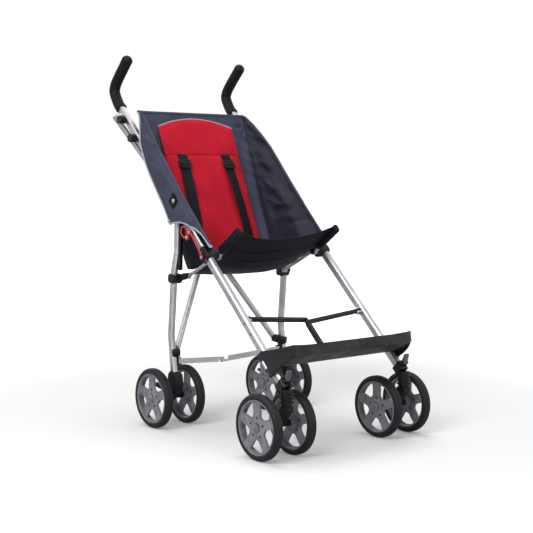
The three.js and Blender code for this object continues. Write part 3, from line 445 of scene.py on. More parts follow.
# ---------------------------------------------------------------------------------------------- surfaces
def grid_faces(rows: int, columns: int, start: int = 0, flip: bool = False) -> Array:
    """Returns the quads of a grid of points numbered row by row.

    Args:
        rows: points down the grid.
        columns: points across it.
        start: the number of its first point.
        flip: turns the faces over.
    """
    corner = start + np.arange(rows - 1)[:, None] * columns + np.arange(columns - 1)[None, :]
    quads = np.stack([corner, corner + 1, corner + columns + 1, corner + columns], -1).reshape(-1, 4)
    return quads[:, ::-1] if flip else quads


def lengths(points: Array, axis: int) -> Array:
    """Returns the running length along one axis of a grid of points, starting at 0."""
    steps = np.linalg.norm(np.diff(points, axis=axis), axis=-1)
    shape = list(steps.shape)
    shape[axis] = 1
    return np.concatenate([np.zeros(shape), np.cumsum(steps, axis=axis)], axis=axis)


def spline(keys: Array, count: int) -> Array:
    """Runs a Catmull-Rom curve through key points: each stretch blends four neighbours by a cubic in its own
    parameter, with the end points repeated.

    Args:
        keys: the key points, one a row.
        count: how many points to return.
    """
    padded = np.concatenate([2 * keys[:1] - keys[1:2], keys, 2 * keys[-1:] - keys[-2:-1]])
    place = np.linspace(0, len(keys) - 1, count)
    whole = np.minimum(place.astype(int), len(keys) - 2)
    t = (place - whole)[:, None]
    a, b, c, d = (padded[whole + i] for i in range(4))
    return 0.5 * (2 * b + (c - a) * t + (2 * a - 5 * b + 4 * c - d) * t**2 + (3 * b - a - 3 * c + d) * t**3)


def unit(vectors: Array) -> Array:
    """Returns the vectors made one long."""
    return vectors / np.maximum(np.linalg.norm(vectors, axis=-1, keepdims=True), 1e-12)


def smooth(values: Array | float) -> Array:
    """Eases a value from 0 to 1 without a corner at either end: 3 v squared less 2 v cubed."""
    v = np.clip(values, 0, 1)
    return v * v * (3 - 2 * v)


def ripples(u: Array, v: Array, waves: tuple[tuple[float, float, float, float], ...]) -> Array:
    """Adds up sine waves over a surface.

    Args:
        u: place across, in metres.
        v: place along, in metres.
        waves: each wave's height in metres, turns per metre across and along, and phase.
    """
    height, across, along, phase = (np.array(c).reshape(-1, *([1] * np.ndim(u + v))) for c in zip(*waves))
    return (height * np.sin(2 * np.pi * (across * u[None] + along * v[None]) + phase)).sum(0)


@dataclass
class Shape:
    """Points, faces and cloth coordinates that grow into one mesh."""

    points: list[Array] = field(default_factory=list)
    faces: list[Array] = field(default_factory=list)
    cloth: list[Array] = field(default_factory=list)
    count: int = 0

    def grid(self, points: Array, flip: bool = False, cloth: Array | None = None) -> "Shape":
        """Adds a grid of points as quads.

        Args:
            points: rows by columns by three, in metres.
            flip: turns the faces over.
            cloth: rows by columns by two, the place in the flat cloth in metres. Without it, running lengths
                across and along are used.
        """
        rows, columns = points.shape[:2]
        if cloth is None:
            cloth = np.stack([lengths(points, 1), lengths(points, 0)], -1)
        self.points.append(points.reshape(-1, 3))
        self.cloth.append(cloth.reshape(-1, 2))
        self.faces.append(grid_faces(rows, columns, self.count, flip))
        self.count += rows * columns
        return self

    def sweep(
        self, path: Array, profile: Array, reference: Array, scale: Array | float = 1.0, caps: bool = True
    ) -> "Shape":
        """Carries a closed profile along a path: at each point the profile stands across the path's direction,
        its second axis nearest the reference.

        Args:
            path: points along the way, in metres.
            profile: closed outline, two columns, without its first point repeated.
            reference: the way the profile's second axis points, one vector or one for each point.
            scale: the profile's size along the path.
            caps: closes both ends with a fan.
        """
        heading = unit(np.gradient(path, axis=0))
        first = unit(np.cross(heading, np.broadcast_to(reference, path.shape)))
        second = np.cross(first, heading)
        loop = np.concatenate([profile, profile[:1]])
        size = np.broadcast_to(np.asarray(scale, float), (len(path),))[:, None, None]
        ring = path[:, None] + size * (loop[None, :, :1] * first[:, None] + loop[None, :, 1:] * second[:, None])
        if caps:
            near = np.broadcast_to(path[:1, None], (1, *ring.shape[1:]))
            far = np.broadcast_to(path[-1:, None], (1, *ring.shape[1:]))
            ring = np.concatenate([near, ring, far])
        return self.grid(ring, flip=True)

    def lathe(self, profile: Array, centre: Array, segments: int = 72, mirror: bool = False) -> "Shape":
        """Turns a profile of (along X, radius) pairs about the X axis through the centre.

        Args:
            profile: the outline in metres. It closes on itself, or ends on the axis.
            centre: the middle, in metres.
            segments: facets round.
            mirror: turns the profile to face -X.
        """
        turn = np.linspace(0, 2 * np.pi, segments + 1)[None, :]
        along = profile[:, :1] * (-1 if mirror else 1) * np.ones_like(turn)
        points = centre + np.stack([along, profile[:, 1:] * np.sin(turn), profile[:, 1:] * np.cos(turn)], -1)
        return self.grid(points, flip=mirror)

    def mesh(self, name: str, merge: float = 1e-5) -> bpy.types.Mesh:
        """Makes the mesh, with its doubles merged and its map of the flat cloth."""
        mesh = bpy.data.meshes.new(name)
        points, faces, cloth = (np.concatenate(part) for part in (self.points, self.faces, self.cloth))
        mesh.from_pydata(points, [], faces.tolist())
        layer = mesh.uv_layers.new(name="UVMap")
        corners = np.empty(len(mesh.loops), np.int32)
        mesh.loops.foreach_get("vertex_index", corners)
        layer.data.foreach_set("uv", cloth[corners].astype(np.float32).ravel())
        work = bmesh.new()
        work.from_mesh(mesh)
        bmesh.ops.remove_doubles(work, verts=work.verts, dist=merge)
        bmesh.ops.dissolve_degenerate(work, edges=work.edges, dist=1e-7)
        work.to_mesh(mesh)
        work.free()
        mesh.shade_smooth()
        return mesh


def circle(radius: float, count: int = 20, squash: float = 1.0) -> Array:
    """Returns a closed round outline, flattened along its second axis by squash."""
    turn = np.linspace(0, 2 * np.pi, count, endpoint=False)
    return np.stack([radius * np.cos(turn), radius * squash * np.sin(turn)], -1)


def rounded(width: float, height: float, corner: float, count: int = 6) -> Array:
    """Returns a rounded rectangle as a closed outline, counter-clockwise, in the same unit as its sizes."""
    turn = np.linspace(0, np.pi / 2, count)
    arcs = []
    for i, (sx, sy) in enumerate(((1, 1), (-1, 1), (-1, -1), (1, -1))):
        angle = turn + i * np.pi / 2
        middle = np.array([sx * (width / 2 - corner), sy * (height / 2 - corner)])
        arcs.append(middle + corner * np.stack([np.cos(angle), np.sin(angle)], -1))
    return np.concatenate(arcs)


class Workshop:
    """Puts finished pieces into the scene and hangs them on the frame's bodies."""

    def __init__(self, frame: dict) -> None:
        """Keeps the loaded frame and finds the middle of the wheelbase, which the side view is measured from."""
        self.frame = frame
        front = sum(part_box("rim_front_l_outer"), Vector()) / 2
        rear = sum(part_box("rim_rear_l_outer"), Vector()) / 2
        self.middle = (front.y + rear.y) / 2
        self.main_x = MAIN_X * MM

    def at(self, x: Array | float, y: Array | float, z: Array | float) -> Array:
        """Places side-view millimetres in the frame.

        Args:
            x: from the middle, towards the child's left.
            y: from the middle of the wheelbase, backwards.
            z: above the floor.

        Returns:
            Points in metres, with x, y and z in the last axis.
        """
        x, y, z = np.broadcast_arrays(np.asarray(x, float), np.asarray(y, float), np.asarray(z, float))
        return np.stack([x * MM, y * MM + self.middle, z * MM], -1)

    def tube(self, x: float, s: Array | float, n: Array | float = 0.0) -> Array:
        """Places a point s millimetres along the handle tube's line and n out of its upper front face."""
        y = ALONG[1] * np.asarray(s, float) - ALONG[2] * np.asarray(n, float)
        z = TUBE_MID_HEIGHT + ALONG[2] * np.asarray(s, float) + ALONG[1] * np.asarray(n, float)
        return self.at(x, y, z)

    def put(
        self,
        name: str,
        mesh: bpy.types.Mesh,
        look: Look,
        body: str,
        slot: str | None = None,
        replaces: tuple[str, ...] = (),
        outward: bool = False,
    ) -> bpy.types.Object:
        """slot: the record's material slot; not used.
            replaces: CAD nodes that it stands for.
            outward: has the faces of a closed shape turned outwards.

        Returns:
            The new object.
        """
        if outward:
            work = bmesh.new()
            work.from_mesh(mesh)
            bmesh.ops.recalc_face_normals(work, faces=work.faces)
            work.to_mesh(mesh)
            work.free()
        piece = bpy.data.objects.new(name, mesh)
        bpy.context.scene.collection.objects.link(piece)
        mesh.materials.clear()
        mesh.materials.append(look.material())
        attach(piece, body)
        if replaces:
            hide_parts(*replaces)
        LOG.info("%s: %d faces on %s", name, len(mesh.polygons), body)
        return piece

    def gather(self, piece: bpy.types.Object, anchor: float | None = None, keep: float = FOLD_KEEP) -> None:
        """Gives a soft piece a mesh of its own."""
        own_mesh(piece)

    def trim(
        self, name: str, mesh: bpy.types.Mesh, look: Look, slot: str | None = None, replaces: tuple[str, ...] = ()
    ) -> bpy.types.Object:
        """Puts a closed soft piece on the right frame, with its faces turned outwards and a mesh of its own. Arguments
        are those of put.
        """
        piece = self.put(name, mesh, look, "right_frame", slot, replaces, True)
        self.gather(piece)
        return piece

    @staticmethod
    def apply(piece: bpy.types.Object, kind: str, **settings: object) -> None:
        """Adds one modifier and applies it to the mesh at once."""
        modifier = piece.modifiers.new(kind.title(), kind)
        for key, value in settings.items():
            setattr(modifier, key, value)
        bpy.context.view_layer.update()
        graph = bpy.context.evaluated_depsgraph_get()
        made = bpy.data.meshes.new_from_object(piece.evaluated_get(graph))
        piece.modifiers.clear()
        old, piece.data = piece.data, made
        made.name = old.name
        bpy.data.meshes.remove(old)


# ---------------------------------------------------------------------------------------------- rigid pieces
@dataclass
class Hardware:
    """The frame's tubes, brackets and levers: each CAD solid with its edges broken and its own finish."""

    shop: Workshop
    plate_corner: float = 72.0
    bar_swell: float = 1.25
    tube_skin: float = 0.8
    sharp: float = 32.0
    bevelled: float = 33.0

    def plan(self) -> dict[str, tuple[Look, str, float]]:
        """Returns the finish, the slot and the edge radius in millimetres for each family of nodes."""
        return {
            "main_tube": (Look.HANDLE_TUBE, "alloy", 1.0),
            "cross_bar": (Look.CROSS_BAR, "alloy", 0.4),
            "rear_leg": (Look.REAR_LEG, "alloy", 1.5),
            "seat_tube": (Look.SEAT_TUBE, "alloy", 1.5),
            "rear_spreader": (Look.SPREADER, "alloy", 1.4),
            "rear_bracket": (Look.NYLON, "plastic", 1.0),
            "rear_hinge": (Look.NYLON, "plastic", 0.8),
            "seat_bracket": (Look.NYLON, "plastic", 1.0),
            "leg_runner": (Look.NYLON, "plastic", 1.0),
            "caster_housing": (Look.NYLON, "plastic", 1.0),
            "caster_fork": (Look.NYLON, "plastic", 1.2),
            "brake_pedal": (Look.NYLON, "plastic", 1.0),
            "front_spreader": (Look.NYLON, "plastic", 1.2),
            "swivel_lock": (Look.LATCH, "rim", 0.8),
            "footplate": (Look.PLATE, "plate", 2.2),
            "knob_upper": (Look.KNOB, "plastic", 1.0),
            "knob_lower": (Look.KNOB, "plastic", 1.0),
        }

    def build(self) -> None:
        """Dresses every rigid node apart from the wheels and grips."""
        for family, (look, slot, radius) in self.plan().items():
            for side in ("l", "r"):
                self.dress(f"{family}_{side}", look, slot, radius)
        self.dress("release_lever_l", Look.NYLON, "plastic", 0.7)
        self.dress("spreader_link", Look.NYLON, "plastic", 1.2)

    def thicken(self, work: bmesh.types.BMesh) -> None:
        """Swells a bar about its own line, which is the longest direction of its points."""
        points = np.array([v.co for v in work.verts])
        centre = points.mean(axis=0)
        line = np.linalg.svd(points - centre)[2][0]
        for vert, point in zip(work.verts, points):
            on_line = centre + line * float((point - centre) @ line)
            vert.co = Vector(on_line + (point - on_line) * self.bar_swell)

    def round_corner(self, work: bmesh.types.BMesh) -> None:
        """Rounds a footplate's front corner in plan.

        The plate is first cut by upright planes across the corner. Then each point beyond the corner's centre
        keeps its larger offset as a radius, and the ratio of its two offsets becomes its angle.
        """
        xs = np.abs([v.co.x for v in work.verts])
        ys = np.array([v.co.y for v in work.verts])
        reach = self.plate_corner * MM
        centre = np.array([xs.max() - reach, ys.min() + reach])
        side = 1.0 if sum(v.co.x for v in work.verts) > 0 else -1.0
        for cut in np.linspace(0.0, 1.0, 12, endpoint=False) * reach:
            for point, normal in (
                ((side * (centre[0] + cut), 0, 0), (1, 0, 0)),
                ((0, centre[1] - cut, 0), (0, 1, 0)),
            ):
                parts = work.verts[:] + work.edges[:] + work.faces[:]
                bmesh.ops.bisect_plane(work, geom=parts, dist=1e-6, plane_co=point, plane_no=normal)
        for vert in work.verts:
            a, b = side * vert.co.x - centre[0], centre[1] - vert.co.y
            if a > 1e-6 and b > 1e-6:
                far = max(a, b)
                turn = math.pi / 4 * (b / a if a >= b else 2 - a / b)
                vert.co.x = side * (centre[0] + far * math.cos(turn))
                vert.co.y = centre[1] - far * math.sin(turn)

    def dress(self, node: str, look: Look, slot: str, radius: float) -> None:
        """Copies a node, joins its triangles into faces, makes its family's change of shape, breaks its edges and
        gives it its finish.

        Args:
            node: the CAD node.
            look: its finish.
            slot: its material slot.
            radius: the edge radius, in millimetres.
        """
        source = self.shop.frame["nodes"][node]
        mesh = source.data.copy()
        mesh.name = f"{node}_dressed"
        work = bmesh.new()
        work.from_mesh(mesh)
        bmesh.ops.remove_doubles(work, verts=work.verts, dist=2e-6)
        bmesh.ops.dissolve_degenerate(work, edges=work.edges, dist=1e-6)
        bmesh.ops.dissolve_limit(
            work, angle_limit=math.radians(0.6), verts=work.verts, edges=work.edges, delimit=set()
        )
        if node.startswith("footplate"):
            self.round_corner(work)
        if node.startswith("cross_bar"):
            self.thicken(work)
        if node.startswith("main_tube"):
            work.normal_update()
            for vert, normal in [(vert, vert.normal.copy()) for vert in work.verts]:
                vert.co += normal * self.tube_skin * MM
        work.to_mesh(mesh)
        work.free()
        piece = self.shop.put(f"{node}_dressed", mesh, look, source["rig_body"], slot, (node,))
        mesh.shade_smooth()
        mesh.set_sharp_from_angle(angle=math.radians(self.sharp))
        modifier = piece.modifiers.new("Broken edges", "BEVEL")
        modifier.width = radius * MM
        modifier.segments = 3
        modifier.limit_method = "ANGLE"
        modifier.angle_limit = math.radians(self.bevelled)
        modifier.harden_normals = False


# ---------------------------------------------------------------------------------------------- wheels
@dataclass
class Wheels:
    """Eight wheels: a foam-filled tyre with a soft shoulder, a five-spoke rim and a snap-in hub cap.

    Sizes are millimetres. Across is measured from the wheel's own middle plane towards its face.
    """

    shop: Workshop
    radius: float = 90.0
    width: float = 27.0
    bead: float = 74.8
    rim_radius: float = 74.4
    spokes: int = 5
    hub: float = 21.0
    window_in: float = 33.0
    window_out: float = 69.0
    spoke_half: float = 14.0
    window_corner: float = 4.0
    face: float = 9.0

    def build(self) -> None:
        """Makes the eight wheels in the places that their CAD rims hold."""
        for pair in ("front", "rear"):
            low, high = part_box(f"rim_{pair}_l_outer")
            centre = (low + high) / 2
            tyre_look = WheelPolymer(
                f"moulded polyurethane tyre {pair}", "#1B1A1E", roughness=0.6, centre=(centre.y, centre.z), line=2.4
            )
            rim_look = WheelPolymer(
                f"moulded grey nylon rim {pair}", "#85828A", roughness=0.42, centre=(centre.y, centre.z), shaded_nut_recesses=True
            )
            for side in ("l", "r"):
                for place in ("outer", "inner"):
                    self.wheel(pair, side, place, tyre_look, rim_look)

    def wheel(self, pair: str, side: str, place: str, tyre_look: Finish, rim_look: Finish) -> None:
        """Makes one wheel.

        Args:
            pair: front or rear.
            side: l or r.
            place: outer or inner wheel of the pair.
            tyre_look: the tyre's finish.
            rim_look: the rim's finish.
        """
        tag = f"{pair}_{side}_{place}"
        low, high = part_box(f"tyre_{tag}")
        centre = np.array((low + high) / 2)
        mirror = (side == "r") == (place == "outer")
        body = f"wheel_{tag}"
        for family, mesh, look, slot in (
            ("tyre", self.tyre(centre, mirror), tyre_look, "tyre"),
            ("rim", self.rim(centre, mirror), rim_look, "rim"),
        ):
            piece = self.shop.put(f"{family}_{tag}_dressed", mesh, Look.NYLON, body, slot, (f"{family}_{tag}",), True)
            piece.data.materials[0] = look.build()
            if family == "rim":
                piece.data.set_sharp_from_angle(angle=math.radians(38))
        cap = self.cap(centre, mirror)
        piece = self.shop.put(f"hub_cap_{tag}", cap, Look.NYLON, body, "rim", (), True)
        piece.data.materials[0] = rim_look.build()

    def tyre(self, centre: Array, mirror: bool) -> bpy.types.Mesh:
        """The tyre is a profile turned about the axle: a flat bead, round shoulders and two shallow grooves."""
        half = self.width / 2
        keys = np.array(
            [
                [-half + 1.5, self.bead], [-half + 0.2, self.bead + 2.5], [-half, self.bead + 7.5],
                [-half + 1.6, self.radius - 4.2], [-half + 5, self.radius - 1.2], [-4.6, self.radius - 0.1],
                [-4.2, self.radius - 0.8], [-3.8, self.radius - 0.1], [0, self.radius],
            ]
        )
        outline = spline(np.concatenate([keys, keys[-2::-1] * [-1, 1]]), 81)
        bore = np.array([[half - 1.5, self.bead], [-half + 1.5, self.bead]])
        return Shape().lathe(np.concatenate([outline, bore]) * MM, centre, 96, mirror).mesh("tyre")

    def rim(self, centre: Array, mirror: bool) -> bpy.types.Mesh:
        """The rim has a spoked face on a barrel, and a hub tube.

        Each spoke is a grid: the radius runs down it, and across it the angle is the spoke's half width times a
        number from -1 to 1. The half width swells to a full sector at both ends, which rounds the windows'
        corners. The face is doubled a wall's thickness behind itself, and the two are joined along each edge.
        """
        inner, outer, wall, corner = self.window_in, self.window_out, 5.0, self.window_corner
        radii = np.concatenate(
            [
                np.linspace(13.2, inner - 0.6, 8),
                inner + corner * (1 - np.cos(np.linspace(0, np.pi / 2, 12))),
                np.linspace(inner + corner + 1.5, outer - corner - 1.5, 12),
                outer - corner * (1 - np.cos(np.linspace(np.pi / 2, 0, 12))),
                np.linspace(outer + 0.5, 72.6, 6),
            ]
        )[:, None]
        sector = np.pi / self.spokes
        narrow = self.spoke_half / np.clip(radii, inner, outer)
        near = np.clip((radii - inner) / corner, 0, 1)
        far = np.clip((outer - radii) / corner, 0, 1)
        closing = np.sqrt(1 - (1 - near) ** 2) * np.sqrt(1 - (1 - far) ** 2)
        half = sector - (sector - narrow) * closing
        across = np.concatenate([[-1, -0.97, -0.86, -0.8], np.linspace(-0.6, 0.6, 7), [0.8, 0.86, 0.97, 1]])[None, :]
        edge = smooth((np.abs(across) - 0.8) / 0.06) * closing
        dish = 1.6 * np.sin(np.pi * np.clip((radii - self.hub) / (66 - self.hub), 0, 1))
        lip = 2.8 * smooth((radii - outer - 0.2) / 1.6)
        height = self.face - dish + lip + 1.3 * edge + 0 * across
        height = height + 1.2 * smooth((self.hub - radii) / 1.5)
        shape = Shape()
        sign = -1 if mirror else 1
        for spoke in range(self.spokes):
            angle = half * across + 2 * sector * spoke
            ring = np.stack([0 * angle, radii * np.sin(angle), radii * np.cos(angle)], -1)
            front, back = ring.copy(), ring.copy()
            front[..., 0] = sign * height
            back[..., 0] = sign * (self.face - dish - wall + lip * 0.3)
            closed = np.concatenate([front, back[:, ::-1], front[:, :1]], 1)
            shape.grid(centre + closed * MM, flip=mirror)
        r, h = self.rim_radius, self.width / 2
        barrel = [[h - 1.2, 71.9], [h - 0.8, 73.2], [h - 1.6, r], [-h + 2.2, r], [-h + 2.0, 72.8], [-h + 3, 71.2]]
        barrel += [[0.0, 70.6], [h - 5, 70.9], [h - 1.8, 71.2], [h - 1.2, 71.9]]
        shape.lathe(np.array(barrel) * MM, centre, 80, mirror)
        tube = [[-h, 6.0], [-h, self.hub - 2.5], [-h + 1.5, self.hub - 1.5], [self.face - 3, self.hub]]
        tube += [[self.face - 3, 13.2], [2.0, 13.0], [2.0, 6.0], [-h, 6.0]]
        shape.lathe(np.array(tube) * MM, centre, 48, mirror)
        return shape.mesh("rim", 2e-5)

    def cap(self, centre: Array, mirror: bool) -> bpy.types.Mesh:
        """The hub cap is a shallow dome with a turned step, closed behind."""
        top = self.width / 2 - 0.2
        dome = [[11.0, 0.0], [11.0, 12.0], [top - 1.0, 12.6], [top - 0.5, 12.0], [top - 0.9, 9.4], [top - 0.5, 8.8]]
        dome += [[top - 0.1, 4.0], [top, 0.0]]
        return Shape().lathe(np.array(dome)[::-1] * MM, centre, 40, mirror).mesh("hub_cap")


@dataclass
class Grips:
    """The two foam grips, bent back from the tubes and rounded at the top. Sizes are millimetres."""

    shop: Workshop
    radius: float = 17.4
    mouth: float = 706.0

    def build(self) -> None:
        """Sweeps each grip along the bend of its handle, with a thin collar at its mouth and a domed end."""
        for side, x in (("l", MAIN_X), ("r", -MAIN_X)):
            start = self.shop.tube(x, [self.mouth, self.mouth + 26])
            bend = self.shop.at(x, [547, 545, 528, 474], [1019, 1038, 1061, 1115])
            path = spline(np.concatenate([start, bend]), 70)
            heading = unit(path[-1] - path[-2])
            turn = np.linspace(0, np.pi / 2, 12)[1:]
            dome = path[-1] + heading * (self.radius * MM * 0.93 * np.sin(turn))[:, None]
            reach = np.concatenate([np.linspace(0, 1, 70), np.ones(11)])
            scale = 1 + 0.035 * np.exp(-(((reach * 60) - 1.2) ** 2)) - 0.02 * smooth(reach * 3) * (reach < 1)
            scale[0] = 0.94
            scale[70:] = np.maximum(np.cos(turn), 0.02) * scale[69]
            full = np.concatenate([path, dome])
            shape = Shape().sweep(full, circle(self.radius * MM, 40), np.array([1.0, 0.0, 0.0]), scale)
            node = f"grip_{side}"
            self.shop.put(f"{node}_foam", shape.mesh("grip"), Look.FOAM, FRAMES[side], "foam", (node,), True)


# ---------------------------------------------------------------------------------------------- fabric
@dataclass
class Sling:
    """The back and its two side wings, one cloth that wraps each handle tube.

    The cloth is cut by level lines: at each height the section runs from the middle of the back out to a rounded
    corner, forward along the wing's inner face, round its front edge and back along its outer face.
    Sizes are millimetres in the side view.
    """

    shop: Workshop
    foot: tuple[float, float] = (240.0, 470.0)
    top: tuple[float, float] = (444.0, 956.0)
    rows: int = 96
    edge_radius: float = 4.5
    snap_at: tuple[float, float] = (202.6, 682.5)
    snap_calm: float = 50.0
    strips: tuple[int, ...] = (26, 10, 40, 9, 34)
    front_column: int = 80
    # Columns, counted from the middle of the back, whose faces get the darker slate of painted shade.
    shade_columns: tuple[int, int] = (32, 77)
    valley: tuple[tuple[float, float], ...] = ((436, 975), (390, 876), (350, 793), (292, 679), (210, 545))
    valley_depth: float = 9.0
    valley_width: float = 18.0
    fan_height: float = 3.2
    crease_share: float = 1.45
    # Each crease has its line on the wing, its half width and its height, which is negative for a groove.
    creases: tuple[tuple[tuple[tuple[float, float], ...], float, float], ...] = (
        (((341, 795), (311, 780), (259, 757), (199, 709), (169, 687)), 9, 5.0),
        (((320, 760), (281, 737), (232, 700), (190, 676)), 8, -3.0),
        (((385, 884), (316, 855), (276, 822)), 9, 4.5),
        (((362, 850), (322, 826), (290, 798)), 8, -3.0),
        (((256, 636), (205, 650), (154, 656)), 9, 4.5),
        (((240, 612), (190, 628), (140, 632)), 8, -2.6),
        (((180, 600), (138, 618), (98, 632)), 8, 3.6),
        (((300, 700), (262, 696), (215, 672)), 8, 3.0),
        (((436, 930), (410, 905), (385, 900)), 7, 3.4),
        (((428, 950), (400, 930), (372, 925)), 7, -3.0),
        (((404, 905), (372, 886), (346, 884)), 6, -3.0),
        (((372, 872), (340, 846), (318, 842)), 6, -2.6),
        (((338, 812), (300, 798), (270, 786)), 6, -3.0),
        (((300, 742), (262, 722), (225, 712)), 6, -3.0),
        (((286, 690), (240, 672), (200, 664)), 6, -3.0),
        (((262, 660), (210, 668), (170, 672)), 6, -2.6),
    )
    front_edge: tuple[tuple[float, float], ...] = (
        (520, -8), (554, 26), (587, 62), (621, 96), (657, 128), (683, 153), (708, 178), (744, 212), (784, 248),
        (812, 272), (850, 306), (900, 354), (927, 388), (956, 424),
    )
    rear_edge: tuple[tuple[float, float], ...] = (
        (560, 196), (601, 218), (626, 229.5), (661, 250), (705, 287), (759, 330), (836, 370), (912, 402), (956, 432),
    )
    inner_line: tuple[tuple[float, float], ...] = (
        (236, 476), (190, 477), (150, 490), (110, 511), (66, 540), (26, 554),
    )
    hem_line: tuple[tuple[float, float], ...] = (
        (14, 555), (57, 579), (97, 603), (137, 616.5), (172, 621), (214, 617), (226, 612),
    )

    def back_y(self, z: Array) -> Array:
        """The back leans on a straight line from its foot to its top."""
        return self.foot[0] + (self.top[0] - self.foot[0]) * (z - self.foot[1]) / (self.top[1] - self.foot[1])

    def front_y(self, z: Array) -> Array:
        """The wing's front edge is a quintic through its measured points."""
        return self.quintic(self.front_edge, z)

    def rear_y(self, z: Array) -> Array:
        """The outer face's rear edge is a quintic through its measured points."""
        return self.quintic(self.rear_edge, z)

    @staticmethod
    def quintic(edge: tuple[tuple[float, float], ...], z: Array, middle: float = 740, reach: float = 220) -> Array:
        """Fits a quintic through an edge's heights and places and reads it at z."""
        heights, places = np.array(edge).T
        return np.polyval(np.polyfit((heights - middle) / reach, places, 5), (z - middle) / reach)

    def tube_y(self, z: Array) -> Array:
        """The handle tube's middle at that height."""
        return (z - TUBE_MID_HEIGHT) / math.tan(TUBE_ANGLE)

    def wall_x(self, z: Array) -> Array:
        """The wing's inner face leans outwards towards the top."""
        return 176 + 29 * (z - 545) / 411

    def lip_x(self, z: Array) -> Array:
        """The middle of the wing's rounded front edge."""
        return np.interp(z, [500, 850, 956], [223, 223, 205])

    def inner_x(self, y: Array, z: Array) -> Array:
        """The wing's inner face: it stands on the wall behind the tube and swings out to the front edge before it."""
        back, front, wall = self.back_y(z), self.front_y(z), self.wall_x(z)
        corner = np.minimum(30, 0.4 * (back - front))
        bend = np.clip(self.tube_y(z) - 20, front + 0.3 * (back - front), back - corner)
        swing = self.lip_x(z) - self.edge_radius - wall
        return wall + swing * smooth((bend - y) / (bend - front - self.edge_radius + 1e-6))

    def section(self, bottoms: Array, v: Array) -> tuple[Array, Array, Array]:
        """Works out one half of the cloth, from the middle of the back to the outer face's rear edge.

        Args:
            bottoms: the height of the lower edge, one for each column.
            v: rows from 0 at the lower edge to 1 at the top, as a column.

        Returns:
            x, y and z of every point, rows by columns.
        """
        n = self.strips
        z = bottoms[None, :] + (self.top[1] - bottoms[None, :]) * v
        part = np.repeat(np.arange(5), n)[None, :]
        q = np.concatenate([np.linspace(0, 1, k + 1)[1:] if i else np.linspace(0, 1, k) for i, k in enumerate(n)])
        q = np.broadcast_to(q[None, :], z.shape)
        back, front, wall = self.back_y(z), self.front_y(z), self.wall_x(z)
        corner = np.minimum(30, 0.4 * (back - front))
        edge = self.edge_radius
        lip = self.lip_x(z)
        outer = np.interp(z, [500, 862, 956], [234.4, 234.4, 213])
        x1, y1 = (wall - corner) * q, back
        turn = q * np.pi / 2
        x2, y2 = wall - corner + corner * np.sin(turn), back - corner + corner * np.cos(turn)
        y3 = back - corner + (front + edge - back + corner) * q
        x3 = self.inner_x(y3, z)
        turn = q * np.pi
        x4, y4 = lip - edge * np.cos(turn), front + edge - edge * np.sin(turn)
        rear = np.maximum(self.rear_y(z), front + edge + 4)
        y5 = front + edge + (rear - front - edge) * q
        x5 = lip + edge + (outer - lip - edge) * smooth((y5 - front - edge) / 26)
        x = np.select([part == i for i in range(5)], [x1, x2, x3, x4, x5])
        y = np.select([part == i for i in range(5)], [y1, y2, y3, y4, y5])
        return x, y, z

    @staticmethod
    def settle(
        line: tuple[tuple[float, float], ...],
        first: Callable[[Array], Array],
        last: Callable[[Array], Array],
        share: Array,
    ) -> Array:
        """Finds where columns that share out a face's depth meet an edge line.

        The depth depends on the height, and the height on the place along the line, so place and height are
        stepped towards each other until they agree.

        Args:
            line: places and heights along the edge.
            first: the face's first place at a height.
            last: its last place at a height.
            share: each column's share of the way from first to last.

        Returns:
            The height of each column's end.
        """
        places, heights = np.array(sorted(line)).T
        y = np.interp(share, [0, 1], [line[0][0], line[-1][0]])
        for _ in range(60):
            z = np.interp(y, places, heights)
            y = 0.6 * y + 0.4 * (first(z) + (last(z) - first(z)) * share)
        return np.interp(y, places, heights)

    def hem(self) -> Array:
        """The lower edge: level behind the seat, rising to the wing's front corner, then along the outer hem."""
        n = self.strips

        def wall(z: Array) -> Array:
            return self.back_y(z) - 30

        def front(z: Array) -> Array:
            return self.front_y(z) + self.edge_radius

        inner = self.settle(self.inner_line, wall, front, np.linspace(0, 1, n[2] + 1)[1:])
        outer = self.settle(self.hem_line, front, self.rear_y, np.linspace(0, 1, n[4] + 1)[1:])
        foot = np.full(n[0] + n[1], self.inner_line[0][1])
        return np.concatenate([foot, inner, np.full(n[3], self.hem_line[0][1]), outer])

    @staticmethod
    def ridge(y: Array, z: Array, line: tuple[tuple[float, float], ...], width: float) -> Array:
        """A soft ridge along a broken line: a bell of the distance to it, which thins out towards both ends."""
        nearest, along = np.full(y.shape, 1e9), np.zeros(y.shape)
        keys = np.array(line, float)
        steps = np.linalg.norm(np.diff(keys, axis=0), axis=1)
        runs = np.concatenate([[0], np.cumsum(steps)])
        for start, end, run, step in zip(keys[:-1], keys[1:], runs, steps):
            t = ((y - start[0]) * (end - start)[0] + (z - start[1]) * (end - start)[1]) / step**2
            t = np.clip(t, 0, 1)
            away = np.hypot(y - start[0] - t * (end - start)[0], z - start[1] - t * (end - start)[1])
            closer = away < nearest
            nearest = np.where(closer, away, nearest)
            along = np.where(closer, (run + t * step) / runs[-1], along)
        return np.exp(-((nearest / width) ** 2)) * smooth(along * 5) * smooth((1 - along) * 5)

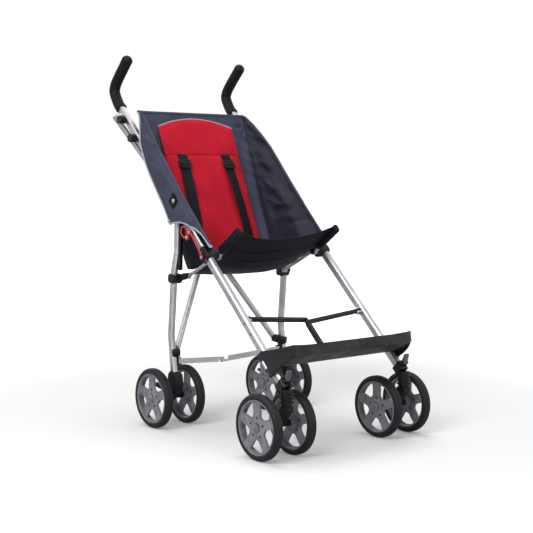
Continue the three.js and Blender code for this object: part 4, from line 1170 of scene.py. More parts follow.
    def folds(self, x: Array, y: Array, z: Array) -> Array:
        """How far the cloth stands out of its plain form, in millimetres: slow waves, tension folds that fan out
        from the top corners, two soft bulges in each wing, a long valley and the creases that cross it."""
        u, v = x / 1000, z / 1000
        waves = ((1.1, 2.1, 1.3, 0.4), (0.8, -3.7, 2.9, 1.9), (0.5, 6.1, 4.7, 0.7), (0.35, 11.0, -7.3, 2.6))
        slow = ripples(u, v, waves)
        side = smooth((np.abs(x) - 150) / 30)
        reach = np.hypot(y - 425, z - 950)
        angle = np.arctan2(950 - z, 425 - y)
        fan = np.sin(angle * 15 + np.sign(x) * 0.6) * np.exp(-((reach / 170) ** 2)) * smooth(reach / 40) * side
        bulge = 4.2 * np.exp(-(((y - self.front_y(z) - 55) / 34) ** 2) - ((z - 690) / 75) ** 2)
        bulge += 3.4 * np.exp(-(((y - self.front_y(z) - 48) / 30) ** 2) - ((z - 825) / 60) ** 2)
        valley = -self.valley_depth * self.ridge(y, z, self.valley, self.valley_width)
        creases = sum(high * self.ridge(y, z, line, wide) for line, wide, high in self.creases)
        strip = smooth((np.abs(x) - 145) / 12) * (1 - smooth((np.abs(x) - 192) / 10)) * smooth((z - 620) / 120)
        strip *= 1.3 + 1.3 * smooth((z - 780) / 100)
        strip *= np.sin(z / 6.8 + np.abs(x) / 8 + np.sign(x) + 0.8 * np.sin(z / 31)) * smooth((945 - z) / 25)
        long = 1.4 * np.sin((z * 0.9 + y * 0.45) / 17) * np.exp(-(((z - 700) / 120) ** 2))
        wing = bulge + valley + self.crease_share * creases + 0.5 * long
        return slow + self.fan_height * fan + side * wing + strip

    def surface(self) -> Array:
        """Returns the whole cloth's points, rows by columns, in metres, from the left rear edge to the right."""
        v = np.linspace(0, 1, self.rows)[:, None]
        column = np.arange(sum(self.strips))
        x, y, z = self.section(self.hem(), v)
        halves = []
        for sign in (-1, 1):
            points = self.shop.at(sign * x, y, z)
            across = np.gradient(points, axis=1)
            down = np.gradient(points, axis=0)
            normal = unit(np.cross(across, down)) * -sign
            fade = smooth(v * 14) * smooth((1 - v) * 12)
            inward = np.repeat([1.0, 0.0, -1.0], [sum(self.strips[:3]), *self.strips[3:]])[None, :]
            away = smooth(np.abs(column - self.front_column) / 9)[None, :] * smooth((column[-1] - column) / 5)[None, :]
            push = self.folds(sign * x, y, z) * fade * away * np.where(inward > 0, 1.0, 0.9)
            calm = 1 - np.exp(-((y - self.snap_at[0]) ** 2 + (z - self.snap_at[1]) ** 2) / self.snap_calm**2)
            outside = np.clip(-push, -4.6, 0.3) * calm
            push = np.where(inward < 0, outside, np.maximum(push, -0.5 * (227 - self.inner_x(y, z))))
            halves.append(points + normal * (push * MM)[..., None])
        return np.concatenate([halves[0][:, :0:-1], halves[1]], 1)

    def build(self) -> None:
        """Makes the cloth, with shade painted on the wings' inner side by a darker slate, and with its piping, patches
        and rings.
        """
        points = self.surface()
        cloth = np.stack([lengths(points, 1), lengths(points, 0)], -1)
        mesh = Shape().grid(points, flip=True, cloth=cloth).mesh("sling")
        piece = self.shop.put("sling_cloth", mesh, Look.SLATE, "right_frame", "slate_fabric", ("sling",))
        # The second material is the darker slate of painted shade, given to the faces of the wings' inner side.
        mesh.materials.append(Look.SLATE_PAINTED_SHADE.material())
        middle = points.shape[1] // 2
        column = np.abs(np.arange(points.shape[1] - 1) + 0.5 - middle)
        inside = (column > self.shade_columns[0]) & (column < self.shade_columns[1])
        choice = np.tile(inside.astype(np.int32), points.shape[0] - 1)
        mesh.polygons.foreach_set("material_index", choice)
        self.shop.apply(piece, "SOLIDIFY", thickness=0.0018, offset=0.0)
        self.shop.gather(piece)
        trims = self.trims(points)

    def trims(self, points: Array) -> list[bpy.types.Object]:
        """Pipes the wing's rear edge and hem on both sides, and binds the top of the back."""
        made = []
        middle = points.shape[1] // 2
        for side, columns, inward in (("r", slice(middle, None, -1), -1.0), ("l", slice(middle, None), 1.0)):
            half = points[:, columns]
            edges = {
                "rear_piping": (half[:, -1], 3.0),
                "hem_piping": (half[0, self.front_column :] - [inward * 1.7 * MM, 0.0, 0.0], 3.4),
            }
            for name, (line, radius) in edges.items():
                path = spline(line[:: max(1, len(line) // 40)], 90)
                reference = np.array([1.0, 0.0, 0.0])
                shape = Shape().sweep(path, circle(radius * MM, 10), reference)
                made.append(self.shop.trim(f"{name}_{side}", shape.mesh(name), Look.PIPING))
            made += self.snap(side)
        path = spline(points[-1, 42:-42][::6], 120)
        shape = Shape().sweep(path, rounded(4.6 * MM, 9 * MM, 2.0 * MM), np.array([0.0, 0.387, 0.922]))
        return [*made, self.shop.trim("top_binding", shape.mesh("top_binding"), Look.SLATE)]

    def snap(self, side: str) -> list[bpy.types.Object]:
        """A plain diamond patch with a press stud on the wing's outer face, and a small ring at its rear corner."""
        sign = 1 if side == "l" else -1
        turn = np.linspace(0, 2 * np.pi, 49)[None, :]
        y, z = self.snap_at
        wide, tall, power = 24.0, 27.0, 1.85
        swell = np.array([[0.0], [0.94], [1.0], [0.98]])
        high = np.array([[1.4], [1.4], [0.7], [-1.0]])
        curve = [np.sign(f(turn)) * np.abs(f(turn)) ** power for f in (np.cos, np.sin)]
        points = self.shop.at(sign * (235.3 + high), y + wide * swell * curve[0], z + tall * swell * curve[1])
        patch = Shape().grid(points).mesh("patch")
        centre = self.shop.at(sign * 235.7, y, z)
        dome = np.array([[3.6, 0.0], [3.3, 3.4], [2.2, 5.2], [1.6, 7.2], [-0.5, 7.4], [-0.5, 0.0]])
        stud = Shape().lathe(dome * MM, centre, 28, sign < 0).mesh("stud")
        angle = np.linspace(0, 2 * np.pi, 33)
        loop = self.shop.at(sign * 236.4, 226 + 5.2 * np.sin(angle), 622 + 5.2 * np.cos(angle))
        ring = Shape().sweep(loop, circle(1.1 * MM, 8), np.array([1.0, 0, 0]), caps=False).mesh("ring")
        parts = (("patch", patch, Look.BLACK_CLOTH), ("stud", stud, Look.STUD), ("ring", ring, Look.STUD))
        return [self.shop.trim(f"wing_{name}_{side}", mesh, look) for name, mesh, look in parts]


@dataclass
class BackPad:
    """The red pad on the back: a long lower pad, and a top panel with an arched head that laps over it.

    Sizes are millimetres. Places on the pad are x and w, the distance up the back's slope from its foot.
    """

    shop: Workshop
    sling: Sling
    half: float = 145.0
    seam: float = 376.5
    voxel: float = 4.5
    pressure: float = 4.0
    frames: int = 20
    neighbours: int = 24
    arch_side: float = 474.5
    arch_top: float = 504.0

    def slope(self) -> tuple[Array, Array]:
        """Returns the back's direction up its slope and its outward normal, as (y, z)."""
        run = np.array(self.sling.top) - np.array(self.sling.foot)
        up = run / np.linalg.norm(run)
        return up, np.array([-up[1], up[0]])

    def outward(self) -> Array:
        """Returns the back's outward normal as a vector in the frame."""
        return np.array([0.0, *self.slope()[1]])

    def place(self, x: Array, w: Array, out: Array) -> Array:
        """Places points that stand out of the back by `out` millimetres."""
        up, normal = self.slope()
        y = self.sling.foot[0] + up[0] * w + normal[0] * out
        z = self.sling.foot[1] + up[1] * w + normal[1] * out
        return self.shop.at(x, y, z)

    def pillow(self, low: Array, high: Array, base: float, thick: float, crown: float) -> Shape:
        """A pad between two edges. Its thickness is a soft box: the square root of one less the twelfth power of
        the distance from the middle across, times one less the sixteenth power of it along. It ends in a thin
        rim. The face and the back are two grids whose rims meet point for point.

        Args:
            low: the lower edge's w for each column.
            high: the upper edge's w for each column.
            base: the back face's height out of the cloth.
            thick: the thickness at the rim.
            crown: how much thicker it is in the middle.
        """
        a = np.sin(np.linspace(-1, 1, len(low)) * np.pi / 2)[None, :]
        b = np.sin(np.linspace(-1, 1, 90) * np.pi / 2)[:, None]
        x = self.half * a + 0 * b
        w = low[None, :] + (high - low)[None, :] * (b + 1) / 2
        soft = np.clip((1 - np.abs(a) ** 12) * (1 - np.abs(b) ** 16), 0, 1) ** 0.5
        wave = ripples(x / 1000, w / 1000, ((0.5, 3.1, 2.3, 0.3), (0.35, -5.9, 4.1, 1.1), (0.25, 9.0, 8.0, 2.0)))
        face = base + thick * 0.5 + (thick * 0.5 + crown + wave) * soft
        rear = base + thick * 0.5 - thick * 0.5 * soft
        shape = Shape()
        cloth = np.stack([x * MM, w * MM], -1)
        shape.grid(self.place(x, w, face), flip=True, cloth=cloth)
        shape.grid(self.place(x, w, rear), flip=False, cloth=cloth)
        return shape

    def inflate(self, piece: bpy.types.Object, most: float) -> None:
        """Swells a remeshed copy of a pad as a cloth bag with light pressure, then gives each point of the pad's
        face the mean of what its nearest neighbours rose out of the back. The outline is sewn down, so it stays.

        Args:
            piece: the pad, already in place.
            most: the largest move, in metres.
        """
        scene = bpy.context.scene
        bag = bpy.data.objects.new("bag", piece.data.copy())
        scene.collection.objects.link(bag)
        self.shop.apply(bag, "REMESH", mode="VOXEL", voxel_size=self.voxel * MM)
        before = self.points(bag.data)
        cloth = bag.modifiers.new("Cloth", "CLOTH")
        cloth.settings.use_pressure = True
        cloth.settings.uniform_pressure_force = self.pressure
        cloth.settings.effector_weights.gravity = 0.0
        cloth.settings.quality = 5
        for frame in range(1, self.frames + 1):
            scene.frame_set(frame)
        after = self.points(bag.evaluated_get(bpy.context.evaluated_depsgraph_get()).to_mesh())
        scene.frame_set(1)
        normal = self.outward()
        bpy.data.objects.remove(bag)
        rest = self.points(piece.data)
        height = rest @ normal
        middle = (height.min() + height.max()) / 2
        front = before @ normal > middle
        rise = np.clip((after - before)[front] @ normal, -most, most)
        tree = KDTree(len(rise))
        for index, point in enumerate(before[front]):
            tree.insert(point, index)
        tree.balance()
        lift = np.array([np.mean(rise[[hit[1] for hit in tree.find_n(point, self.neighbours)]]) for point in rest])
        lift *= np.clip((height - middle) / (height.max() - middle), 0, 1)
        piece.data.vertices.foreach_set("co", (rest + lift[:, None] * normal).ravel())
        piece.data.update()

    @staticmethod
    def points(mesh: bpy.types.Mesh) -> Array:
        """Returns a mesh's points as rows of x, y and z."""
        flat = np.empty(len(mesh.vertices) * 3)
        mesh.vertices.foreach_get("co", flat)
        return flat.reshape(-1, 3)

    def build(self) -> None:
        """Makes the lower pad, the top panel and the arch piping."""
        columns = 90
        a = np.sin(np.linspace(-1, 1, columns) * np.pi / 2)
        level = np.ones(columns)
        arch = self.arch_side + (self.arch_top - self.arch_side) * (1 - a**2)
        lower = self.pillow(26 * level, (self.seam + 14) * level, 3.5, 5.6, 0.8).mesh("lower_pad")
        upper = self.pillow(self.seam * level, arch, 6.5, 4.2, 0.5).mesh("upper_pad")
        pads = []
        for name, mesh in (("back_pad_lower", lower), ("back_pad_upper", upper)):
            piece = self.shop.put(name, mesh, Look.RED, "right_frame", "red_fabric", ("back_pad",), True)
            self.inflate(piece, 0.005)
            self.shop.gather(piece)
            pads.append(piece)
        x = np.linspace(-self.half, self.half, 90)
        line = self.place(x, self.arch_side + 1.5 + (self.arch_top - self.arch_side) * (1 - (x / self.half) ** 2), 8.5)
        shape = Shape().sweep(line, circle(1.9 * MM, 10), np.array([0.0, -0.92, 0.39]))
        self.shop.trim("arch_piping", shape.mesh("arch_piping"), Look.PIPING)


@dataclass
class Harness:
    """Two shoulder straps with ladder buckles. Each comes out under the top panel and runs down to the seat."""

    shop: Workshop
    pad: BackPad
    half: float = 18.0
    thick: float = 1.8

    def line(self, side: float, k: Array) -> Array:
        """The strap's middle: it spreads from 84 to 99 mm as it goes down and lifts off the pad in a shallow bow."""
        x = side * (84 + 15 * k)
        w = self.pad.seam + 3 - (self.pad.seam - 58) * k
        out = 13.5 + 9 * np.sin(np.pi * np.clip(k, 0, 1)) ** 0.8 - 1.5 * k
        return self.pad.place(x, w, out)

    def build(self) -> None:
        """Makes both straps with their buckles."""
        for side, sign in (("l", 1.0), ("r", -1.0)):
            k = np.linspace(0, 1, 80)
            path = self.line(sign, k)
            reference = self.pad.outward()
            tilt = 0.16 * np.sin(np.pi * k) * sign
            reference = reference[None, :] * np.cos(tilt)[:, None] + np.array([1.0, 0, 0]) * np.sin(tilt)[:, None]
            outline = rounded(2 * self.half * MM, self.thick * MM, 0.8 * MM, 3)
            shape = Shape().sweep(path, outline, reference)
            node = f"shoulder_strap_{side}"
            self.shop.trim(f"{node}_webbing", shape.mesh("strap"), Look.STRAP, "webbing", (node,))
            self.shop.trim(f"ladder_buckle_{side}", self.buckle(path, reference), Look.BUCKLE)
            self.shop.trim(f"strap_tail_{side}", self.tail(sign), Look.STRAP, "webbing")

    def buckle(self, path: Array, reference: Array) -> bpy.types.Mesh:
        """A ladder buckle: a rounded frame, two fixed bars and a tilted tongue, built on the strap's own line."""
        at = 9
        centre = path[at]
        up = unit(path[at - 3] - path[at + 3])
        out = unit(reference[at])
        across = unit(np.cross(up, out))
        out = np.cross(across, up)
        turn = np.linspace(0, 2 * np.pi, 61)
        wide, tall, power = 20.5 * MM, 13 * MM, 0.35
        ring_x = wide * np.sign(np.cos(turn)) * np.abs(np.cos(turn)) ** power
        ring_y = tall * np.sign(np.sin(turn)) * np.abs(np.sin(turn)) ** power
        loop = centre + out * 0.0032 + ring_x[:, None] * across + ring_y[:, None] * up
        shape = Shape()
        shape.sweep(loop, rounded(4.2 * MM, 4.6 * MM, 1.2 * MM, 3), out, caps=False)
        for height, lift, thick in ((4.5, 0.0045, 3.2), (-3.5, 0.0045, 3.2), (-10.5, 0.0062, 3.6)):
            ends = np.linspace(-1, 1, 9)[:, None]
            bar = centre + out * lift + up * height * MM + ends * across * (wide - 1.5 * MM)
            shape.sweep(bar, rounded(thick * MM, 2.6 * MM, 0.9 * MM, 3), out)
        return shape.mesh("buckle")

    def tail(self, sign: float) -> bpy.types.Mesh:
        """The strap's free end: it comes out of the buckle and lies over the strap for a thumb's width."""
        k = np.linspace(0.075, 0.15, 30)
        path = self.line(sign, k)
        out = self.pad.outward()
        rise = (3.2 + 3.0 * np.sin(np.linspace(0, np.pi, 30)) + 2.0 * np.linspace(0, 1, 30)) * MM
        path = path + out * rise[:, None]
        outline = rounded(2 * (self.half - 0.5) * MM, self.thick * MM, 0.8 * MM, 3)
        return Shape().sweep(path, outline, out).mesh("tail")


@dataclass
class SeatPan:
    """The seat cloth slung between the two seat tubes, with a sleeve round each tube's front end.

    Its side lines follow the tubes, and its middle hangs lower: the drop across is an even power of the distance
    from the middle. Sizes are millimetres.
    """

    shop: Workshop
    half: float = 181.0
    side_line: tuple[tuple[float, float], ...] = (
        (236, 462), (190, 468), (150, 484), (110, 504), (77, 519), (30, 548), (-8, 577), (-46, 603),
    )
    middle_line: tuple[tuple[float, float], ...] = (
        (236, 456), (190, 457), (150, 460), (110, 468), (77, 484), (47, 510), (20, 541), (-7, 568),
    )
    sleeve_line: tuple[tuple[float, float], ...] = (
        (33, 541.8), (22, 548.5), (8, 558), (-12, 572), (-32, 586.5), (-44, 594.8), (-49, 598.5), (-51.5, 600.2),
    )
    spacing: float = 374.0
    folded_travel: float = 267.0

    def surface(self) -> Array:
        """Returns the seat cloth's points in metres, from the back to the front edge."""
        rows, columns = 90, 121
        sides = spline(np.array(self.side_line), rows)
        centre = spline(np.array(self.middle_line), rows)
        a = np.linspace(-1, 1, columns)[None, :]
        share = np.abs(a) ** 2.4
        y = centre[:, :1] * (1 - share) + sides[:, :1] * share
        z = centre[:, 1:] * (1 - share) + sides[:, 1:] * share
        x = self.half * a + 0 * y
        b = np.linspace(0, 1, rows)[:, None]
        fold = -3.4 * np.exp(-(((b - 0.80 + 0.05 * a**2 - 0.03 * a) / 0.016) ** 2)) * np.exp(-((a + 0.3) ** 4) * 14)
        fold += -2.8 * np.exp(-(((b - 0.68 + 0.08 * a**2 - 0.03 * a) / 0.018) ** 2)) * np.exp(-((a + 0.05) ** 4) * 14)
        fold += 0.6 * np.sin(b * 30 + 5 * a**2) * np.exp(-((np.abs(a) - 0.75) ** 2) * 16) * smooth((b - 0.35) * 4)
        waves = ((0.7, 3.0, 4.0, 0.2), (0.5, -5.0, 6.5, 1.7), (0.3, 9.0, 11.0, 0.9))
        fold += ripples(x / 1000, b * 0.3 + 0 * a, waves)
        calm = smooth((1 - np.abs(a)) * 9) * smooth((1 - b) * 12) * smooth(b * 8)
        points = self.shop.at(x, y, z)
        normal = unit(np.cross(np.gradient(points, axis=1), np.gradient(points, axis=0)))
        return points - normal * (fold * calm * MM)[..., None]

    def build(self) -> None:
        """Makes the seat cloth, its bound front edge and the two tube sleeves."""
        points = self.surface()
        cloth = np.stack([lengths(points, 1), lengths(points, 0)], -1)
        mesh = Shape().grid(points, cloth=cloth).mesh("seat")
        piece = self.shop.put("seat_cloth", mesh, Look.NAVY, "seat_tube_r", "navy_fabric", ("seat_pan",))
        self.shop.apply(piece, "SOLIDIFY", thickness=0.0026, offset=0.0)
        anchor = -self.spacing / 2 * MM
        self.gather(piece, anchor)
        trims = []
        path = spline(points[-1][::6], 140)
        shape = Shape().sweep(path, rounded(6.5 * MM, 4.4 * MM, 1.8 * MM, 4), np.array([0.0, 0.6, 0.8]))
        mesh = shape.mesh("binding")
        trims.append(self.shop.put("seat_front_binding", mesh, Look.BLACK_CLOTH, "seat_tube_r", None, (), True))
        self.gather(trims[0], anchor)
        for side, sign in (("l", 1), ("r", -1)):
            shape = self.sleeve(sign)
            body = f"seat_tube_{side}"
            trims.append(self.shop.put(f"seat_sleeve_{side}", shape.mesh("sleeve"), Look.NAVY, body, None, (), True))

    def gather(self, piece: bpy.types.Object, anchor: float) -> None:
        """Passes a piece of the seat to the workshop's gather, which gives it a mesh of its own."""
        self.shop.gather(piece, anchor, keep=(self.spacing - self.folded_travel) / self.spacing)

    def sleeve(self, sign: int) -> Shape:
        """A hemmed sleeve round the seat tube: a rounded section carried from behind the bracket to past the
        tube's tip, closed at the tip and a little fuller there."""
        line = spline(np.array(self.sleeve_line), 46)
        path = self.shop.at(sign * self.spacing / 2, line[:, 0], line[:, 1])
        reach = np.linspace(0, 1, 46)
        scale = 1 + 0.03 * np.sin(reach * 40) * (reach < 0.9) - 0.62 * smooth((reach - 0.9) / 0.1) ** 2
        scale[0] = 0.97
        outline = rounded(17.5 * MM, 25.0 * MM, 7.0 * MM, 6)
        return Shape().sweep(path, outline, np.array([0.0, 0.58, 0.81]), scale)


@dataclass
class ShadeLining:
    """A dark navy sheet seen from outside between the wing's hem and the seat tube: partly the seat's darker inner
    side, partly painted shade for the shade that falls there.
    """

    shop: Workshop
    sling: Sling
    rows: int = 34
    columns: tuple[int, int] = (37, 76)
    gap: float = 2.0

    def build(self) -> None:
        """A second layer just outside the lower part of each wing's inner face."""
        points = self.sling.surface()
        middle = points.shape[1] // 2
        for side, sign in (("l", 1), ("r", -1)):
            part = points[: self.rows, middle + sign * np.arange(*self.columns)]
            normal = unit(np.cross(np.gradient(part, axis=1), np.gradient(part, axis=0)))
            part = part + normal * np.sign(normal[..., :1]) * sign * self.gap * MM
            cloth = np.stack([lengths(part, 1), lengths(part, 0)], -1)
            mesh = Shape().grid(part, flip=sign < 0, cloth=cloth).mesh("lining")
            # The navy sheet is partly painted shade under the wing's hem.
            piece = self.shop.put(f"shade_lining_{side}", mesh, Look.NAVY, "right_frame", "navy_fabric")
            self.shop.apply(piece, "SOLIDIFY", thickness=0.0012, offset=0.0)
            self.shop.gather(piece)


@dataclass
class ReleaseLever:
    """The red lever on the right tube: a finger ring, two riveted lugs and a thin curved arm with an eye."""

    shop: Workshop
    thick: float = 5.0
    ring: tuple[float, float, float, float] = (144.8, 593.0, 13.5, 16.5)
    lugs: tuple[tuple[float, float], ...] = ((118.0, 592.5), (129.7, 577.5))
    arm: tuple[tuple[float, float], ...] = (
        (117.5, 595.0), (100.0, 578.5), (82.0, 557.0), (66.0, 538.0), (57.0, 523.0),
    )

    def build(self) -> None:
        """Makes the lever and its rivets."""
        low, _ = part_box("release_lever_r")
        x = low.x / MM + self.thick / 2
        out = np.array([1.0, 0.0, 0.0])
        shape = Shape()
        turn = np.linspace(0, 2 * np.pi, 49)
        y0, z0, wide, tall = self.ring
        tilt = math.radians(-35)
        a, b = wide * np.cos(turn), tall * np.sin(turn)
        y, z = y0 + a * math.cos(tilt) - b * math.sin(tilt), z0 + a * math.sin(tilt) + b * math.cos(tilt)
        loop = self.shop.at(x, y, z)
        shape.sweep(loop, rounded(5.4 * MM, self.thick * MM, 1.6 * MM, 4), out, caps=False)
        line = spline(np.array(self.arm), 40)
        width = 1 + 0.35 * smooth((0.25 - np.linspace(0, 1, 40)) / 0.25)
        path = self.shop.at(x, line[:, 0], line[:, 1])
        shape.sweep(path, rounded(6.4 * MM, self.thick * MM, 1.6 * MM, 4), out, width)
        for (y, z), radius in (*((lug, 8.0) for lug in self.lugs), (self.arm[-1], 7.0)):
            disc = [[-2.6, 0.0], [-2.6, radius - 0.8], [-1.8, radius], [1.8, radius], [2.6, radius - 0.8], [2.6, 0.0]]
            shape.lathe(np.array(disc)[::-1] * MM, self.shop.at(x, y, z), 28)
        body = "release_lever_r"
        self.shop.put("release_lever_r_dressed", shape.mesh("lever"), Look.LEVER, body, "red_plastic", (body,), True)
        for i, (y, z) in enumerate((*self.lugs, self.arm[-1])):
            dome = np.array([[0.0, 0.0], [0.0, 4.2], [1.2, 4.2], [2.2, 2.8], [2.5, 0.0]])
            rivet = Shape().lathe(dome[::-1] * MM, self.shop.at(x - 2.4, y, z), 20, True).mesh("rivet")
            self.shop.put(f"lever_rivet_{i}", rivet, Look.STUD, body, None, (), True)


@dataclass
class SmallParts:
    """The coil spring over the right tube, the rivet heads, and on each rear leg the nylon guide and a black strip of
    painted shade.

    Sizes are millimetres.
    """

    shop: Workshop
    bracket_rivets: tuple[float, float] = (56, 88)
    tube_rivets: tuple[float, float] = (-183, -221)

    def build(self) -> None:
        """Makes the spring, the rivets, the legs' nylon guides and their strips of painted shade."""
        self.spring()
        self.rivets()
        self.blocks()

    def blocks(self) -> None:
        """A nylon guide block on each rear leg, where the cross bar from the other side ends, and a black strip up the
        leg's front: painted shade for the dark side of the leg."""
        for side, sign in (("l", 1), ("r", -1)):
            path = self.shop.at(sign * np.linspace(214, 196, 7), np.linspace(222, 262, 7), np.linspace(224, 232, 7))
            width = 1 - 0.08 * np.abs(np.linspace(-1, 1, 7)) ** 3
            shape = Shape().sweep(path, rounded(26 * MM, 24 * MM, 6 * MM, 6), np.array([0.0, 0.0, 1.0]), width)
            body = f"rear_leg_{side}"
            self.shop.put(f"bar_guide_{side}", shape.mesh("guide"), Look.NYLON, body, None, (), True)
            # A black nylon strip up the leg's front: painted shade beside the leg's lit face.
            path = self.shop.at(sign * np.linspace(205, 208, 9), np.linspace(207, 209, 9), np.linspace(612, 476, 9))
            strip = Shape().sweep(path, rounded(12 * MM, 11 * MM, 2 * MM, 4), np.array([0.0, 1.0, 0.0]))
            self.shop.put(f"leg_shade_strip_{side}", strip.mesh("strip"), Look.NYLON, body, None, (), True)

    def spring(self) -> None:
        """A helix along the tube with close-wound ends, beside the lever."""
        turns, radius, wire = 11, 5.4, 1.5
        k = np.linspace(0, 1, 420)
        s = 168 - 66 * (k + 0.02 * np.sin(2 * np.pi * k))
        angle = 2 * np.pi * turns * k
        swell = radius * (1 - 0.25 * (smooth((0.06 - k) / 0.06) + smooth((k - 0.94) / 0.06)))
        centre = self.shop.tube(-226, s, 19.0)
        out = np.array([0.0, -ALONG[2], ALONG[1]])
        radial = np.cos(angle)[:, None] * np.array([1.0, 0, 0]) + np.sin(angle)[:, None] * out
        path = centre + radial * (swell * MM)[:, None]
        shape = Shape().sweep(path, circle(wire / 2 * MM, 8), radial)
        self.shop.put("lever_spring", shape.mesh("spring"), Look.SPRING, "right_frame", None, (), True)

    def rivets(self) -> None:
        """Dome-headed rivets, turned about X, on the outer faces of the brackets and tubes."""
        spots = [("seat_bracket", *self.side(s, 0), 235.2, 3.6) for s in self.bracket_rivets]
        spots += [("tube", *self.side(s, 0), 230.9, 3.0) for s in self.tube_rivets]
        for side, sign in (("l", 1), ("r", -1)):
            for i, (family, y, z, x, radius) in enumerate(spots):
                centre = self.shop.at(sign * x, y, z)
                dome = [[-0.8, 0.0], [-0.8, radius], [0.6, radius], [1.2, radius * 0.72], [1.5, 0.0]]
                shape = Shape().lathe(np.array(dome)[::-1] * MM, centre, 20, sign < 0)
                name = f"{family}_rivet_{side}_{i}"
                self.shop.put(name, shape.mesh("rivet"), Look.LATCH, FRAMES[side], None, (), True)

    @staticmethod
    def side(s: float, n: float) -> tuple[float, float]:
        """Returns the side-view place s along and n above the handle tube's line."""
        return ALONG[1] * s - ALONG[2] * n, TUBE_MID_HEIGHT + ALONG[2] * s + ALONG[1] * n


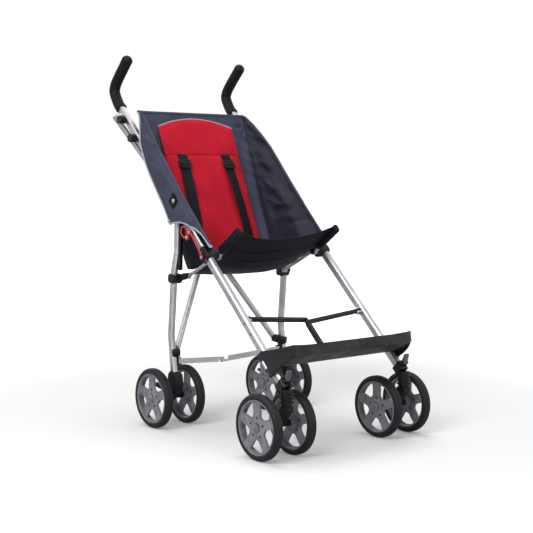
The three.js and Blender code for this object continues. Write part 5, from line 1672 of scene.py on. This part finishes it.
# ---------------------------------------------------------------------------------------------- stage
@dataclass
class Studio:
    """A pale floor that keeps the shadow, a white surround, soft lamps and the camera."""

    shop: Workshop
    eye: tuple[float, float, float] = (-2124.7, -2558.4, 749.4)
    target: tuple[float, float, float] = (-12.48, 40.39, 510.3)
    focal_share: float = 2.1146717
    drop: float = -0.0145028
    glow: tuple[float, float] = (0.14, 1.0)
    glow_reach: tuple[float, float] = (0.75, 2.8)
    floor_colour: str = "#DCDBDB"

    def build(self) -> None:
        """Makes the camera first, then the floor, the surround and the lamps."""
        self.camera()
        self.floor()
        self.surround()
        self.lamps()
        scene = bpy.context.scene
        scene.view_settings.view_transform = "Standard"

    def camera(self) -> None:
        """Stands the camera at the viewing angle and aims it at the buggy."""
        data = bpy.data.cameras.new("view")
        data.sensor_width = 36.0
        data.lens = self.focal_share * data.sensor_width
        data.shift_y = self.drop
        data.clip_end = 60.0
        camera = bpy.data.objects.new("view", data)
        eye, target = self.shop.at(*self.eye), self.shop.at(*self.target)
        camera.location = eye
        camera.rotation_euler = Vector(target - eye).to_track_quat("-Z", "Y").to_euler()
        bpy.context.scene.collection.objects.link(camera)
        bpy.context.scene.camera = camera

    def floor(self) -> None:
        """A wide level sheet. To the camera it glows under its own shading, faintly round the buggy, where the
        shadow lies, and fully further out, where it meets the white surround."""
        span = np.linspace(-24, 24, 9)
        points = np.stack([*np.meshgrid(span, span), np.zeros((9, 9))], -1)
        mesh = Shape().grid(points).mesh("floor")
        floor = bpy.data.objects.new("floor", mesh)
        bpy.context.scene.collection.objects.link(floor)
        material = bpy.data.materials.new("matt white studio floor")
        material.use_nodes = True
        tree = material.node_tree
        tree.nodes.clear()
        place = add(tree, "ShaderNodeTexCoord").outputs["Object"]
        speck = add(tree, "ShaderNodeTexNoise", {"Scale": 3.0, "Detail": 2.0}, {"Vector": place}).outputs[0]
        colour = ramp(tree, speck, [(0.3, self.floor_colour), (0.7, "#E0DFDF")])
        plain = add(tree, "ShaderNodeBsdfDiffuse", {}, {"Color": colour}).outputs[0]
        pale = add(tree, "ShaderNodeBsdfDiffuse", {"Color": linear("#FBFAFA")}).outputs[0]
        away = add(tree, "ShaderNodeVectorMath", {"operation": "LENGTH"}, {0: place}).outputs["Value"]
        near, far = self.glow_reach
        low, high = self.glow
        strength = add(
            tree, "ShaderNodeMapRange", {1: near, 2: far, 3: low, 4: high, "interpolation_type": "SMOOTHSTEP"},
            {0: away},
        ).outputs[0]
        shine = add(tree, "ShaderNodeEmission", {"Color": (1, 1, 1, 1)}, {"Strength": strength}).outputs[0]
        lit = add(tree, "ShaderNodeAddShader", {}, {0: pale, 1: shine}).outputs[0]
        path = add(tree, "ShaderNodeLightPath").outputs
        seen = add(
            tree, "ShaderNodeMath", {"operation": "ADD", "use_clamp": True},
            {0: path["Is Camera Ray"], 1: path["Is Transmission Ray"]},
        ).outputs[0]
        mix = add(tree, "ShaderNodeMixShader", {}, {0: seen, 1: plain, 2: lit}).outputs[0]
        add(tree, "ShaderNodeOutputMaterial", {}, {"Surface": mix})
        mesh.materials.append(material)

    def surround(self) -> None:
        """The world is white to the camera and in reflections, and a softer grey as light."""
        world = bpy.data.worlds.new("white surround")
        bpy.context.scene.world = world
        world.use_nodes = True
        tree = world.node_tree
        tree.nodes.clear()
        path = add(tree, "ShaderNodeLightPath").outputs
        seen = add(
            tree, "ShaderNodeMath", {"operation": "ADD", "use_clamp": True},
            {0: path["Is Camera Ray"], 1: path["Is Transmission Ray"]},
        ).outputs[0]
        either = add(
            tree, "ShaderNodeMath", {"operation": "MAXIMUM", "use_clamp": True}, {0: seen, 1: path["Is Glossy Ray"]}
        ).outputs[0]
        strength = add(tree, "ShaderNodeMapRange", {3: 0.34, 4: 1.0}, {0: either}).outputs[0]
        shine = add(tree, "ShaderNodeBackground", {"Color": (1, 1, 1, 1)}, {"Strength": strength}).outputs[0]
        add(tree, "ShaderNodeOutputWorld", {}, {"Surface": shine})

    def lamps(self) -> None:
        """A broad key from the left and above, a weaker one from the right and a top light."""
        for name, place, power, size in (
            ("key", (-3.4, -1.6, 3.2), 108.0, 2.2),
            ("fill", (2.8, -3.2, 2.0), 14.0, 3.0),
            ("top", (0.2, 0.4, 4.2), 52.0, 2.0),
        ):
            data = bpy.data.lights.new(name, "AREA")
            data.energy = power
            data.size = size
            lamp = bpy.data.objects.new(name, data)
            lamp.location = place
            aim = Vector((0.0, 0.0, 0.5)) - Vector(place)
            lamp.rotation_euler = aim.to_track_quat("-Z", "Y").to_euler()
            bpy.context.scene.collection.objects.link(lamp)


def main() -> None:
    """Loads the frame and builds the pieces in order."""
    logging.basicConfig(level=logging.INFO, format="%(name)s %(message)s")
    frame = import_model()
    shop = Workshop(frame)
    Studio(shop).build()
    Hardware(shop).build()
    Wheels(shop).build()
    Grips(shop).build()
    sling = Sling(shop)
    sling.build()
    pad = BackPad(shop, sling)
    pad.build()
    Harness(shop, pad).build()
    SeatPan(shop).build()
    ShadeLining(shop, sling).build()
    ReleaseLever(shop).build()
    SmallParts(shop).build()


if __name__ == "__main__":
    main()
